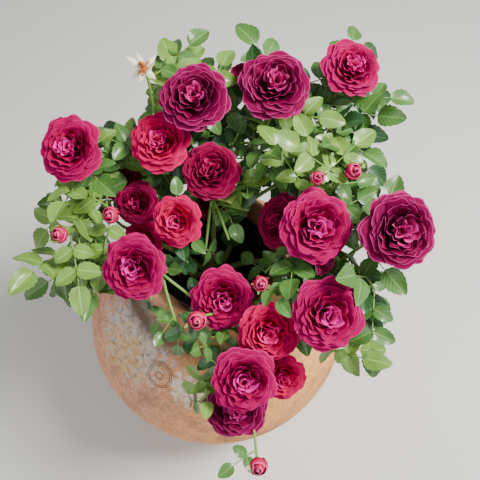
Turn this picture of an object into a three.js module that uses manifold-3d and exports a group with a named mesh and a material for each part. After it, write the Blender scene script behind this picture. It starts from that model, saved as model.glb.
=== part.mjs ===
// A rose bush in an old terracotta jar: nine arching canes rise from one graft knob through the jar's mouth,
// fork into boughs, and end in sprays of double blooms, buds and compound leaves.
// Millimetres, +Z up, the front is -Y, and the origin is the middle of the jar's flat foot.
// A place is a bearing (degrees anticlockwise from +X), a reach from the jar's axis and a height above its foot.
import * as THREE from "three";
import { mergeVertices } from "three/addons/utils/BufferGeometryUtils.js";
import Module from "manifold-3d";

const wasm = await Module();
wasm.setup();

// The clearance between solids that touch on the real plant.
const seatGap = 0.3;

const jar = {
  footRadius: 125,
  bellyRadius: 280,
  bellyHeight: 300,
  upperHalfHeight: 250,
  lowerHalfHeight: 335,
  creaseRadius: 166,
  creaseHeight: 512,
  neckRadius: 119,
  neckHeight: 588,
  lipRadius: 135,
  mouthRadius: 113,
  height: 615,
  wall: 20,
  floor: 24,
  creaseStep: 6,
  lipDepth: 18,
  lipRound: 8,
  bodySteps: 7,
  sides: 28,
};

const soil = { level: 490, edgeDrop: 7, flatRadius: 60 };

// The knob's profile runs from a flared foot over a waist to a rounded crown, as [radius, height] pairs.
const knob = {
  profile: [[33, 0], [31, 5], [27, 16], [31, 32], [28, 48], [16, 60], [0, 64]],
  height: 64,
  lobes: 5,
  lobeDepth: 0.06,
  sides: 10,
};

// A limb leaves its foot at a lean from upright and arrives at its tip with an arch: so much outward to one part up.
// Bend and ease are the shares of its span over which it keeps to the two directions.
const cane = {
  footRadius: 6.4,
  tipRadius: 2.9,
  sides: 6,
  steps: 8,
  firstBearing: 40,
  footReach: 17,
  footRise: 34,
  crownSink: 14,
  lean: 30,
  arch: 0.75,
  crownArch: 0.1,
  bend: 0.5,
  ease: 0.3,
};
const bough = { footRadius: 4.2, tipRadius: 2.9, sides: 6, steps: 4, arch: 0.7, bend: 0.33 };

// Forks leave a spray's leader from the first share of its length on, over a span shared out among them.
const twig = {
  footRadius: 2.8,
  tipRadius: 2.3,
  sides: 3,
  steps: 3,
  firstFork: 0.1,
  forkSpan: 0.5,
  along: 0.4,
  bend: 0.33,
};

// Each leaf has pairs of leaflets along its rachis and one at its end. A spray takes them from its own largest on.
const leafSizes = [
  { pairs: 1, rachis: 60, leaflet: 62 },
  { pairs: 2, rachis: 82, leaflet: 46 },
  { pairs: 1, rachis: 48, leaflet: 44 },
  { pairs: 1, rachis: 32, leaflet: 32 },
  { pairs: 1, rachis: 24, leaflet: 28 },
];
const leaflet = {
  widthShare: 0.68,
  widestAt: 0.46,
  endGap: 22,
  pairGap: 31,
  splay: 65,
  shrink: 0.12,
  pairRoot: 12.4,
  endRoot: 15.4,
};
const blade = { thickness: 1.5, stalkWidth: 3.2 };

// Nodes stand an internode apart, the last one a neck below a bloom. A leaf leaves its twig at an angle, flattens
// to a share of its rise, sags a little, and faces up, sunward and by chance a little aside.
const leafRule = {
  seed: 107,
  firstNode: 20,
  internode: 38,
  most: 3,
  neck: 36,
  tipGap: 2,
  turn: 137.5,
  tries: 20,
  angle: 62,
  spacing: 54,
  rise: 0.6,
  sag: 0.05,
  sunward: 0.35,
  tilt: 0.5,
  centreShare: 0.8,
};

// The room a leaf needs: from limbs, from the border with another spray, above the jar's shoulder and round its lip.
const room = { limb: 5, border: 1, lowest: 565, lipInside: 22, lipOutside: 6, lipAbove: 4 };

// The open space before a bloom's face.
const openView = { behind: 0.34, before: 0.5, beside: 0.46 };

// What stays clear of leaves as seen from the front and above: cones from the viewer round these places.
const viewer = new THREE.Vector3(49, -410, 1420);
const windows = [
  { at: place(248, 260, 650), radius: 60 }, // the jar's shoulder with its seal
  { at: place(227, 206, 650), radius: 39 }, // the shoulder behind it
  { at: place(256, 316, 650), radius: 46 }, // the wall below it
  { at: place(239, 114, 650), radius: 24 }, // the dark mouth
  { at: place(303, 312, 650), radius: 46 }, // the jar's right side
  { at: place(290, 351, 650), radius: 39 }, // right of the low bud
  { at: place(217, 299, 700), radius: 47 }, // left of the jar
  { at: place(186, 300, 740), radius: 34 }, // left of the crown
  { at: place(167, 312, 800), radius: 75 }, // left of the left bloom
  { at: place(134, 221, 850), radius: 58 }, // above it
  { at: place(12, 338, 800), radius: 55 }, // the crown's right side, from the top down
  { at: place(347, 359, 800), radius: 65 },
  { at: place(331, 371, 750), radius: 56 },
];

// The balls that stand for a spray's and a limb's own space.
const ballRule = { bloomShare: 0.42, perTwig: 10, perLimb: 24, limbMargin: 1 };

// Canes in the order of their feet round the knob. The last one stands on the knob's crown.
const canes = {
  cane_back: place(55, 112, 728),
  cane_rear: place(98, 118, 648),
  cane_back_left: place(133, 108, 722),
  cane_left: place(178, 142, 688),
  cane_front_left: place(231, 96, 684),
  cane_front: place(290, 110, 646),
  cane_front_right: place(314, 146, 672),
  cane_right: place(342, 200, 690),
  cane_centre: place(62, 14, 688),
};

// Boughs that fork from a cane at a share of its length.
const boughs = {
  bough_back_right: { from: "cane_back", share: 0.6, tip: place(36, 172, 712) },
  bough_rear_right: { from: "cane_rear", share: 0.55, tip: place(66, 150, 650) },
  bough_low_left: { from: "cane_back_left", share: 0.55, tip: place(148, 118, 652) },
  bough_mid_left: { from: "cane_left", share: 0.4, tip: place(205, 52, 664) },
  bough_front_low: { from: "cane_front", share: 0.7, tip: place(289, 170, 656) },
  bough_right: { from: "cane_right", share: 0.5, tip: place(336, 104, 670) },
};

// What each limb carries: its largest leaf, counted along leafSizes, and its tips. The first tip ends the spray's
// leader, and the others fork from it.
const sprays = {
  left: {
    limb: "cane_left",
    largest: 1,
    tips: [
      bloom(173, 180, 868, 87),
      bud(201, 210, 806, 22),
      bud(200, 137, 809, 23),
      shoot(194, 216, 728),
      shoot(172, 212, 756),
      shoot(206, 190, 684),
    ],
  },
  mid_left: {
    limb: "bough_mid_left",
    largest: 3,
    tips: [bloom(179, 106, 762, 66), bloom(231, 63, 797, 71), bloom(199, 108, 714, 62), shoot(225, 60, 690)],
  },
  low_left: {
    limb: "bough_low_left",
    largest: 1,
    tips: [bloom(150, 180, 701, 74), shoot(141, 190, 752), shoot(162, 196, 668)],
  },
  back_left: {
    limb: "cane_back_left",
    largest: 1,
    tips: [
      bloom(138, 87, 836, 86),
      bloom(98, 90, 893, 93),
      bud(121, 170, 892, 30),
      shoot(108, 112, 806),
      shoot(150, 132, 770),
    ],
  },
  back: {
    limb: "cane_back",
    largest: 1,
    tips: [
      bloom(51, 158, 882, 98),
      bloom(74, 197, 833, 44),
      shoot(66, 92, 800),
      shoot(52, 204, 838),
      shoot(33, 128, 796),
      shoot(72, 142, 806),
    ],
  },
  back_right: {
    limb: "bough_back_right",
    largest: 1,
    tips: [bloom(39, 278, 864, 86), shoot(33, 206, 812), shoot(20, 214, 782), shoot(44, 214, 760)],
  },
  centre: {
    limb: "cane_centre",
    largest: 2,
    tips: [
      bloom(78, 33, 804, 84),
      bloom(85, 68, 668, 72),
      shoot(22, 84, 784),
      shoot(4, 62, 738),
      shoot(312, 48, 716),
      shoot(262, 40, 690),
    ],
  },
  right: {
    limb: "bough_right",
    largest: 1,
    tips: [
      bloom(335, 167, 820, 96),
      bloom(348, 108, 752, 82, facing(200, 48)),
      bloom(332, 193, 752, 39, facing(320, 50)),
      bud(351, 152, 866, 18),
      bud(357, 199, 862, 22),
      shoot(10, 142, 772),
      shoot(318, 118, 690),
    ],
  },
  far_right: {
    limb: "cane_right",
    largest: 0,
    tips: [bloom(341, 269, 839, 99), shoot(330, 271, 760), shoot(338, 222, 724), shoot(354, 226, 716)],
  },
  front_right: {
    limb: "cane_front_right",
    largest: 2,
    tips: [bloom(313, 243, 773, 96), bud(300, 154, 774, 21), shoot(311, 270, 690), shoot(328, 148, 704)],
  },
  front: {
    limb: "cane_front",
    largest: 3,
    tips: [
      bloom(295, 207, 728, 86),
      bloom(280, 136, 718, 88),
      bud(267, 178, 751, 26),
      shoot(271, 195, 690),
      shoot(262, 146, 676),
    ],
  },
  front_low: {
    limb: "bough_front_low",
    largest: 3,
    tips: [
      bloom(282, 261, 738, 86),
      bloom(279, 276, 644, 94),
      bloom(297, 252, 624, 70),
      bud(282, 358, 628, 26),
      shoot(270, 235, 690),
      shoot(268, 267, 655),
    ],
  },
  front_left: {
    limb: "cane_front_left",
    largest: 3,
    tips: [
      bloom(230, 149, 784, 88),
      shoot(257, 179, 690),
      shoot(262, 125, 690),
      shoot(237, 153, 700),
      shoot(214, 138, 706),
    ],
  },
  rear_left: {
    limb: "cane_rear",
    largest: 1,
    tips: [
      bloom(112, 205, 712, 80, facing(112, 44)),
      bloom(128, 226, 640, 72, facing(130, 62)),
      shoot(100, 168, 650),
      shoot(122, 156, 730),
    ],
  },
  rear_right: {
    limb: "bough_rear_right",
    largest: 1,
    tips: [
      bloom(80, 226, 704, 82, facing(84, 48)),
      bloom(48, 238, 694, 78, facing(48, 50)),
      shoot(64, 200, 650),
      shoot(28, 186, 668),
    ],
  },
};

// The way most blooms turn: upright, towards the sunny front, and a little away from the crown's middle.
const bloomTurn = { up: 0.8, front: 0.42, outward: 0.14 };

// Profiles from foot to heart, as [radius, height] shares of a bloom's and of a bud's width.
const bloomShape = {
  profile: [[0, -0.27], [0.4, -0.14], [0.5, 0.03], [0.38, 0.1], [0.275, 0.2], [0, 0.12]],
  sides: 8,
  lobes: 4,
  lobeDepth: 0.05,
  lobeLevel: 0.06,
  stalkEnd: 0.17,
};
const budShape = { profile: [[0, -0.575], [0.4, -0.3], [0.5, 0.05], [0.25, 0.55], [0, 0.75]], sides: 6 };

function place(bearing, reach, height) {
  const angle = THREE.MathUtils.degToRad(bearing);
  return new THREE.Vector3(reach * Math.cos(angle), reach * Math.sin(angle), height);
}

function facing(bearing, lean) {
  const slope = THREE.MathUtils.degToRad(lean);
  return place(bearing, Math.sin(slope), Math.cos(slope));
}

function bloom(bearing, reach, height, width, turned) {
  return { kind: "bloom", at: place(bearing, reach, height), width, turned };
}

function bud(bearing, reach, height, width) {
  return { kind: "bud", at: place(bearing, reach, height), width };
}

function shoot(bearing, reach, height) {
  return { kind: "shoot", at: place(bearing, reach, height), width: 0 };
}

// A linear congruential generator, so that the same seed always grows the same spray.
function randomFrom(seed) {
  let state = seed;
  return () => {
    state = (Math.imul(state, 1664525) + 1013904223) >>> 0;
    return state / 2 ** 32;
  };
}

// A closed solid from a geometry: only positions are kept, shared vertices are merged, collapsed faces dropped.
function solidOf(geometry) {
  const bare = new THREE.BufferGeometry();
  bare.setAttribute("position", geometry.getAttribute("position").clone());
  bare.setIndex(geometry.index);
  const merged = mergeVertices(bare, 1e-3);
  const corners = merged.index.array;
  const kept = [];
  for (let i = 0; i < corners.length; i += 3) {
    const [a, b, c] = corners.slice(i, i + 3);
    if (a !== b && b !== c && c !== a) kept.push(a, b, c);
  }
  return new wasm.Manifold(
    new wasm.Mesh({
      numProp: 3,
      vertProperties: merged.attributes.position.array,
      triVerts: new Uint32Array(kept),
    }),
  );
}

// A cut or a join can leave a loose scrap, which is dropped.
function largestBody(solid) {
  return solid.decompose().reduce((best, body) => (body.volume() > best.volume() ? body : best));
}

function geometryOf(solid) {
  const made = solid.getMesh();
  const geometry = new THREE.BufferGeometry();
  geometry.setAttribute("position", new THREE.BufferAttribute(made.vertProperties, 3));
  geometry.setIndex(new THREE.BufferAttribute(made.triVerts, 1));
  geometry.computeVertexNormals();
  return geometry;
}

// Turns a profile of [radius, height] pairs about the Z axis.
function turned(profile, sides) {
  const points = profile.map(([radius, height]) => new THREE.Vector2(radius, height));
  return new THREE.LatheGeometry(points, sides).rotateX(Math.PI / 2);
}

// The jar's outside radius below its crease: two half ellipses that meet at the belly.
function bodyRadius(height) {
  const above = height - jar.bellyHeight;
  const half = above > 0 ? jar.upperHalfHeight : jar.lowerHalfHeight;
  return jar.bellyRadius * Math.sqrt(1 - (above / half) ** 2);
}

function outerProfile() {
  const body = [];
  for (let i = 1; i <= jar.bodySteps; i += 1) {
    const height = ((jar.creaseHeight - 2 * jar.creaseStep) * i) / jar.bodySteps;
    body.push([bodyRadius(height), height]);
  }
  return [
    [jar.footRadius, 0],
    ...body,
    [jar.creaseRadius - jar.creaseStep, jar.creaseHeight - jar.creaseStep],
    [jar.creaseRadius, jar.creaseHeight + jar.creaseStep],
    [jar.neckRadius + jar.lipRound, jar.neckHeight - jar.wall],
    [jar.neckRadius, jar.neckHeight],
    [jar.lipRadius, jar.height - jar.lipDepth],
    [jar.lipRadius, jar.height - jar.lipRound],
    [jar.lipRadius - jar.lipRound, jar.height],
  ];
}

// The wall's inside, from the mouth down to the floor, with a clearance for what fills the jar.
function innerProfile(clearance) {
  const inside = [];
  const steps = 5;
  const lowest = jar.floor + 2 * jar.wall;
  for (let i = 0; i <= steps; i += 1) {
    const height = THREE.MathUtils.lerp(soil.level - soil.edgeDrop, lowest, i / steps);
    inside.push([bodyRadius(height) - jar.wall - clearance, height]);
  }
  inside.push([jar.footRadius - clearance, jar.floor + clearance]);
  return inside;
}

function jarSolid() {
  const profile = [
    [0, 0],
    ...outerProfile(),
    [jar.mouthRadius + jar.lipRound / 2, jar.height],
    [jar.mouthRadius, jar.height - jar.lipRound],
    [jar.neckRadius - jar.wall, jar.neckHeight - jar.lipRound],
    [jar.creaseRadius - jar.wall, jar.creaseHeight],
    ...innerProfile(0),
    [0, jar.floor],
  ];
  return solidOf(turned(profile, jar.sides));
}

// Earth fills the jar to the soil level: flat round the plant and a little lower at the wall.
function soilSolid() {
  const profile = [
    [0, jar.floor + seatGap],
    ...innerProfile(seatGap).reverse(),
    [soil.flatRadius, soil.level],
    [0, soil.level],
  ];
  return solidOf(turned(profile, jar.sides));
}

// Swells and draws in a turned geometry round its axis by a share that depends on the bearing and the height.
function lobed(geometry, shareAt) {
  const points = geometry.getAttribute("position");
  for (let i = 0; i < points.count; i += 1) {
    const [x, y, z] = [points.getX(i), points.getY(i), points.getZ(i)];
    const swell = 1 + shareAt(Math.atan2(y, x), z);
    points.setXYZ(i, x * swell, y * swell, z);
  }
  return geometry;
}

// The graft knob that stands on the soil, grown by an amount all round.
function knobSolid(grown) {
  const base = soil.level + seatGap;
  const ends = knob.profile.length - 1;
  const raised = knob.profile.map(([radius, height], i) => [
    i < ends ? radius + grown : 0,
    base + height + (i === 0 ? -grown : 0) + (i === ends ? grown : 0),
  ]);
  const geometry = turned([[0, base - grown], ...raised], knob.sides);
  return solidOf(lobed(geometry, (bearing) => knob.lobeDepth * Math.cos(knob.lobes * bearing)));
}

function curveBetween(start, heading, end, arrival, bend, ease = bend) {
  const span = start.distanceTo(end);
  const leaving = start.clone().addScaledVector(heading, span * bend);
  const arriving = end.clone().addScaledVector(arrival, -span * ease);
  return new THREE.CubicBezierCurve3(start, leaving, arriving, end);
}

// The point at a share of a rod's length on the straight line between the two rings next to it.
function pointInRod(curve, steps, share) {
  const ring = Math.min(steps - 1, Math.floor(share * steps));
  const within = share * steps - ring;
  return curve.getPointAt(ring / steps).lerp(curve.getPointAt((ring + 1) / steps), within);
}

// A rod along a curve: the rings of a cylinder carried along it, with the radius falling evenly from foot to tip.
function rodSolid(curve, size, grown = 0) {
  const geometry = new THREE.CylinderGeometry(1, 1, 1, size.sides, size.steps);
  const frames = curve.computeFrenetFrames(size.steps);
  const points = geometry.getAttribute("position");
  const ring = new THREE.Vector3();
  for (let i = 0; i < points.count; i += 1) {
    ring.fromBufferAttribute(points, i);
    const share = ring.y + 0.5;
    const step = Math.round(share * size.steps);
    const radius = THREE.MathUtils.lerp(size.footRadius, size.tipRadius, share) + grown;
    const carried = curve.getPointAt(share);
    carried.addScaledVector(frames.normals[step], ring.x * radius);
    carried.addScaledVector(frames.binormals[step], -ring.z * radius);
    points.setXYZ(i, carried.x, carried.y, carried.z);
  }
  return solidOf(geometry);
}

// The direction that goes one part up and an arch's part outward, away from the jar's axis.
function archedAt(point, arch) {
  const outward = new THREE.Vector3(point.x, point.y, 0).normalize();
  return outward.multiplyScalar(arch).setZ(1).normalize();
}

// Canes rise steeply from the knob and arch outwards; each limb keeps its curve for what grows on it.
function limbCurves() {
  const curves = {};
  const names = Object.keys(canes);
  const round = names.length - 1;
  names.forEach((name, order) => {
    const tip = canes[name];
    const onCrown = order === round;
    const bearing = cane.firstBearing + (360 * order) / round;
    const foot = onCrown
      ? place(0, 0, soil.level + knob.height - cane.crownSink)
      : place(bearing, cane.footReach, soil.level + cane.footRise);
    const away = facing(bearing, onCrown ? 0 : cane.lean);
    const arrival = archedAt(tip, onCrown ? cane.crownArch : cane.arch);
    curves[name] = curveBetween(foot, away, tip, arrival, cane.bend, cane.ease);
  });
  for (const [name, { from, share, tip }] of Object.entries(boughs)) {
    const start = pointInRod(curves[from], cane.steps, share);
    const across = tip.clone().sub(start).normalize();
    const heading = curves[from].getTangentAt(share).add(across).normalize();
    curves[name] = curveBetween(start, heading, tip, archedAt(tip, bough.arch), bough.bend);
  }
  return curves;
}

// The way a bloom or bud turns its heart.
function turnOf(tip) {
  if (tip.turned) return tip.turned;
  const outward = new THREE.Vector3(tip.at.x, tip.at.y, 0).normalize().multiplyScalar(bloomTurn.outward);
  return outward.add(new THREE.Vector3(0, -bloomTurn.front, bloomTurn.up)).normalize();
}

// The twigs of one spray: a leader from the limb's tip to the first entry, and forks from the leader to the others.
function twigsOf(spray, limbCurve) {
  const heading = limbCurve.getTangentAt(1);
  const fork = limbCurve.getPointAt(1).addScaledVector(heading, seatGap);
  const twigs = [];
  spray.tips.forEach((tip, order) => {
    const turn = turnOf(tip);
    const end = tip.at.clone().addScaledVector(turn, -bloomShape.stalkEnd * tip.width);
    const share = twig.firstFork + (twig.forkSpan * order) / spray.tips.length;
    const leader = order === 0 ? null : twigs[0].curve;
    const start = leader ? pointInRod(leader, twig.steps, share) : fork;
    const across = end.clone().sub(start).normalize();
    const leaving = leader
      ? leader.getTangentAt(share).multiplyScalar(twig.along).add(across).normalize()
      : heading;
    const arrival = tip.kind === "shoot" ? across : turn;
    twigs.push({ tip, turn, curve: curveBetween(start, leaving, end, arrival, twig.bend) });
  });
  return twigs;
}

// A double bloom: a turned cup with a lobed rim of outer petals and a lower crown of inner ones.
function bloomSolid(tip, turn) {
  const geometry = turned(scaled(bloomShape.profile, tip.width), bloomShape.sides);
  const level = bloomShape.lobeLevel * tip.width;
  const lobes = (bearing, height) =>
    bloomShape.lobeDepth * Math.cos(bloomShape.lobes * bearing) * Math.sign(height - level);
  return standing(lobed(geometry, lobes), tip.at, turn);
}

// A closed bud: a pointed egg.
function budSolid(tip, turn) {
  return standing(turned(scaled(budShape.profile, tip.width), budShape.sides), tip.at, turn);
}

function scaled(profile, width) {
  return profile.map(([radius, height]) => [radius * width, height * width]);
}

// Turns a geometry that points up to point along a direction, and carries it to its place.
function standing(geometry, at, direction) {
  const spin = new THREE.Quaternion().setFromUnitVectors(new THREE.Vector3(0, 0, 1), direction);
  geometry.applyQuaternion(spin);
  geometry.translate(at.x, at.y, at.z);
  return solidOf(geometry);
}

// The three outer corners of a leaflet that leaves its root at an angle: its back, its tip and its front.
function leafletCorners(rootX, rootY, degrees, length) {
  const angle = THREE.MathUtils.degToRad(degrees);
  const half = (leaflet.widthShare * length) / 2;
  const corner = (share, across) => [
    rootX + share * length * Math.cos(angle) - across * Math.sin(angle),
    rootY + share * length * Math.sin(angle) + across * Math.cos(angle),
  ];
  return [corner(leaflet.widestAt, half), corner(1, 0), corner(leaflet.widestAt, -half)];
}

// A compound leaf's outline with its foot at the origin and its rachis along +X: one side, the tip, the other side.
function leafOutline(size) {
  const half = blade.stalkWidth / 2;
  const firstJoint = size.rachis - leaflet.endGap - (size.pairs - 1) * leaflet.pairGap;
  const side = [[0, half], [firstJoint - half, half]];
  for (let pair = size.pairs - 1; pair >= 0; pair -= 1) {
    const joint = size.rachis - leaflet.endGap - pair * leaflet.pairGap;
    const length = size.leaflet * (1 - leaflet.shrink * (pair + 1));
    side.push(...leafletCorners(joint, half, leaflet.splay, length));
    side.push([joint + (pair > 0 ? leaflet.pairRoot : leaflet.endRoot), half]);
  }
  const [shoulder, tip] = leafletCorners(size.rachis, 0, 0, size.leaflet);
  side.push(shoulder);
  const mirrored = side.map(([x, y]) => [x, -y]).reverse();
  return [...side, tip, ...mirrored].map(([x, y]) => new THREE.Vector2(x, y));
}

// A compound leaf laid out in the crown: its outline, its placing, and the points that must find room.
function leafPlan(foot, heading, size, sunward) {
  const along = heading.clone().setZ(heading.z * leafRule.rise - leafRule.sag).normalize();
  const across = new THREE.Vector3().crossVectors(sunward, along).normalize();
  const normal = new THREE.Vector3().crossVectors(along, across);
  const placing = new THREE.Matrix4().makeBasis(along, across, normal).setPosition(foot);
  const outline = leafOutline(size);
  const placed = (x, y) => new THREE.Vector3(x, y, 0).applyMatrix4(placing);
  const corners = outline.map(({ x, y }) => placed(x, y));
  const probes = corners.filter((_, i) => i > 1 && i < corners.length - 2);
  const halfway = probes.slice(1).map((point, i) => point.clone().lerp(probes[i], 0.5));
  const centre = placed(size.rachis * leafRule.centreShare, 0);
  return { outline, placing, probes: [...probes, ...halfway], centre };
}

function leafSolid({ outline, placing }) {
  const shape = new THREE.Shape([...outline].reverse());
  const geometry = new THREE.ExtrudeGeometry(shape, { depth: blade.thickness, bevelEnabled: false });
  geometry.translate(0, 0, -blade.thickness / 2).applyMatrix4(placing);
  return solidOf(geometry);
}

// The balls that stand for a spray's own space: one on each bloom or bud, and small ones along its twigs.
function spaceOf(twigs) {
  const balls = [];
  for (const { tip, curve } of twigs) {
    if (tip.kind !== "shoot") balls.push({ at: tip.at, radius: tip.width * ballRule.bloomShare });
    for (const at of curve.getSpacedPoints(ballRule.perTwig)) balls.push({ at, radius: 0 });
  }
  return balls;
}

function nearest(point, balls) {
  return Math.min(...balls.map(({ at, radius }) => point.distanceTo(at) - radius));
}

// True where a point lies inside a bloom or in the open space that its face looks into.
function hidesBloom(point, twigs) {
  return twigs.some(({ tip, turn }) => {
    if (tip.kind !== "bloom") return false;
    const from = point.clone().sub(tip.at);
    const depth = from.dot(turn);
    const radial = Math.sqrt(Math.max(0, from.lengthSq() - depth * depth));
    const level = depth > -openView.behind * tip.width && depth < openView.before * tip.width;
    return level && radial < openView.beside * tip.width;
  });
}

// True where a point lies in the cone of a window: its radius grows with the distance from the viewer.
function inWindow(point) {
  const away = point.clone().sub(viewer);
  return windows.some(({ at, radius }) => {
    const axis = at.clone().sub(viewer);
    const distance = axis.length();
    const along = away.dot(axis) / distance;
    const radial = Math.sqrt(Math.max(0, away.lengthSq() - along * along));
    return radial < (radius * along) / distance;
  });
}

function meetsJar(point) {
  const reach = Math.hypot(point.x, point.y);
  if (point.z < room.lowest) return true;
  if (point.z > jar.height + room.lipAbove) return false;
  if (point.z < jar.neckHeight) return reach < jar.creaseRadius + room.lipOutside;
  return reach > jar.mouthRadius - room.lipInside && reach < jar.lipRadius + room.lipOutside;
}

// A leaf is kept where every probe is nearer to its own spray than to any other, and clear of limbs, blooms, jar and
// windows.
function hasRoom(plan, own, spaces, limbBalls, allTwigs) {
  return plan.probes.every((point) => {
    if (meetsJar(point) || inWindow(point) || hidesBloom(point, allTwigs)) return false;
    if (nearest(point, limbBalls) < room.limb) return false;
    const mine = nearest(point, spaces[own]);
    return spaces.every((balls, other) => other === own || nearest(point, balls) > mine + room.border);
  });
}

// Leaves stand at nodes along each twig, each turned by the golden angle from the last, and each tries a few turns.
// A bud's twig is young, and carries one small leaf.
function leavesOf(twigs, largest, own, spaces, limbBalls, allTwigs) {
  const random = randomFrom(leafRule.seed + 13 * own);
  const plans = [];
  for (const { tip, curve } of twigs) {
    const length = curve.getLength();
    const last = length - (tip.kind === "shoot" ? leafRule.tipGap : leafRule.neck);
    const fitting = Math.floor((last - leafRule.firstNode) / leafRule.internode) + 1;
    const young = tip.kind === "bud";
    const count = THREE.MathUtils.clamp(fitting, 1, young ? 1 : leafRule.most);
    const sizes = leafSizes.slice(young ? -1 : largest);
    let turn = 360 * random();
    for (let node = 0; node < count; node += 1) {
      const share = Math.max(twig.firstFork, (last - node * leafRule.internode) / length);
      const foot = pointInRod(curve, twig.steps, share);
      const tangent = curve.getTangentAt(share);
      const side = new THREE.Vector3(tangent.y, -tangent.x, 0).normalize();
      const tilt = new THREE.Vector3(random() - 0.5, random() - 0.5, 0).multiplyScalar(leafRule.tilt);
      const normal = new THREE.Vector3(0, -leafRule.sunward, 1).add(tilt).normalize();
      const tries = sizes.flatMap((size) => Array.from({ length: leafRule.tries }, (_, i) => [size, i]));
      for (const [size, attempt] of tries) {
        const about = THREE.MathUtils.degToRad(turn + (attempt * 360) / leafRule.tries);
        const out = side.clone().applyAxisAngle(tangent, about);
        const angle = THREE.MathUtils.degToRad(leafRule.angle);
        const heading = tangent.clone().multiplyScalar(Math.cos(angle)).addScaledVector(out, Math.sin(angle));
        const plan = leafPlan(foot, heading, size, normal);
        const crowded = plans.some((other) => other.centre.distanceTo(plan.centre) < leafRule.spacing);
        if (!crowded && hasRoom(plan, own, spaces, limbBalls, allTwigs)) {
          plans.push(plan);
          break;
        }
      }
      turn += leafRule.turn;
    }
  }
  return plans;
}

// Twigs, blooms, buds and leaves of one spray, fused into one solid.
function spraySolid(twigs, plans) {
  const parts = [];
  for (const { tip, turn, curve } of twigs) {
    parts.push(rodSolid(curve, twig));
    if (tip.kind === "bloom") parts.push(bloomSolid(tip, turn));
    if (tip.kind === "bud") parts.push(budSolid(tip, turn));
  }
  for (const plan of plans) parts.push(leafSolid(plan));
  return largestBody(wasm.Manifold.union(parts));
}

function material(colour, roughness) {
  return new THREE.MeshStandardMaterial({ color: colour, roughness, metalness: 0 });
}

const finishes = {
  terracotta: material(0xb9785a, 0.9),
  earth: material(0x2b211b, 1),
  bark: material(0x6f5a3c, 0.85),
  cane: material(0x6d8a3f, 0.6),
  leaf: material(0x4f8a35, 0.45),
};

const bush = new THREE.Group();

function addPiece(name, solid, finish) {
  const mesh = new THREE.Mesh(geometryOf(solid), finishes[finish]);
  mesh.name = name;
  bush.add(mesh);
}

addPiece("jar", jarSolid(), "terracotta");
addPiece("soil", soilSolid(), "earth");
addPiece("stem_base", knobSolid(0), "bark");

const curves = limbCurves();
const grownKnob = knobSolid(seatGap);
for (const name of Object.keys(canes)) {
  addPiece(name, largestBody(rodSolid(curves[name], cane).subtract(grownKnob)), "cane");
}
for (const [name, { from }] of Object.entries(boughs)) {
  const grownCane = rodSolid(curves[from], cane, seatGap);
  addPiece(name, largestBody(rodSolid(curves[name], bough).subtract(grownCane)), "cane");
}

const limbBalls = Object.values(curves).flatMap((curve) =>
  curve
    .getSpacedPoints(ballRule.perLimb)
    .slice(0, -1)
    .map((at) => ({ at, radius: cane.tipRadius + ballRule.limbMargin })),
);
const grown = Object.values(sprays).map((spray) => twigsOf(spray, curves[spray.limb]));
const spaces = grown.map(spaceOf);
const allTwigs = grown.flat();
Object.entries(sprays).forEach(([name, { largest }], own) => {
  const plans = leavesOf(grown[own], largest, own, spaces, limbBalls, allTwigs);
  addPiece("foliage_" + name, spraySolid(grown[own], plans), "leaf");
});

export default bush;
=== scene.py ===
import math

import bmesh
import bpy
import numpy as np
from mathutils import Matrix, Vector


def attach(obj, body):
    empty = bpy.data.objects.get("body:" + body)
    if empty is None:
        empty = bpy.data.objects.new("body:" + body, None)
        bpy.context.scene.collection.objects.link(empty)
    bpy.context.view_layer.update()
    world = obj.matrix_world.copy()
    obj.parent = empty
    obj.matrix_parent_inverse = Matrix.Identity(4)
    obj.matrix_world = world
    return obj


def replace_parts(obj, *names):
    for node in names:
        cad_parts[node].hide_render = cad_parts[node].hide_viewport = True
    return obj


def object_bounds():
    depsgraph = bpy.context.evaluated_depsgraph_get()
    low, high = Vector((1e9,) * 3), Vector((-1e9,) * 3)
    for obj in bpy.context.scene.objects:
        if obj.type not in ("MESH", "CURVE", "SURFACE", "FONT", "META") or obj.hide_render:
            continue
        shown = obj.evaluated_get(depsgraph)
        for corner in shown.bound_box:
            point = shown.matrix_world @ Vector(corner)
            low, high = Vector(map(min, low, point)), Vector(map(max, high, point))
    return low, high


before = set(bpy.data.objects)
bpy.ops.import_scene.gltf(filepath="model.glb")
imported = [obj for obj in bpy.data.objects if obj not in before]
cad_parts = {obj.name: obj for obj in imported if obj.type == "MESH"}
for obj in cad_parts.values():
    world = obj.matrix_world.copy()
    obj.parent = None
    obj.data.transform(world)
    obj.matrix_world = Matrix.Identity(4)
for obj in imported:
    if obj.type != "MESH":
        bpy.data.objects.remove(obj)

# A potted rose bush. The jar, its earth and the limbs stand where the frame has them. Every spray is grown
# again by the rule of the frame's source, then dressed with leaflets, petals, sepals and thorns.
# Shapes are worked out in millimetres and become metres when a mesh is made. A place is a bearing in degrees
# anticlockwise from +X, a reach from the jar's axis and a height above its foot. Colours go from 0 to 255.

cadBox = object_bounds()
metresPerMm = 0.001
weldWithin = 1e-6  # metres
anyAngle = (0, 6.3)  # radians, the range of random starting angles
up = np.array([0.0, 0.0, 1.0])


def place(bearing, reach, height):
    # the point (reach cos a, reach sin a, height)
    angle = math.radians(bearing)
    return np.array([reach * math.cos(angle), reach * math.sin(angle), height])


def facing(bearing, lean):
    # a direction that leans from upright towards a bearing: sin(lean) outward and cos(lean) up
    slope = math.radians(lean)
    return place(bearing, math.sin(slope), math.cos(slope))


def unit(vectors):
    # a vector divided by its length
    vectors = np.asarray(vectors, float)
    return vectors / np.maximum(np.linalg.norm(vectors, axis=-1, keepdims=True), 1e-9)


def outwardAt(point):
    # the level direction from the jar's axis to a point
    return unit(np.array([point[0], point[1], 0.0]))


def addObject(name, data):
    # an object with this data, linked to the scene
    made = bpy.data.objects.new(name, data)
    bpy.context.scene.collection.objects.link(made)
    return made


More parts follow.
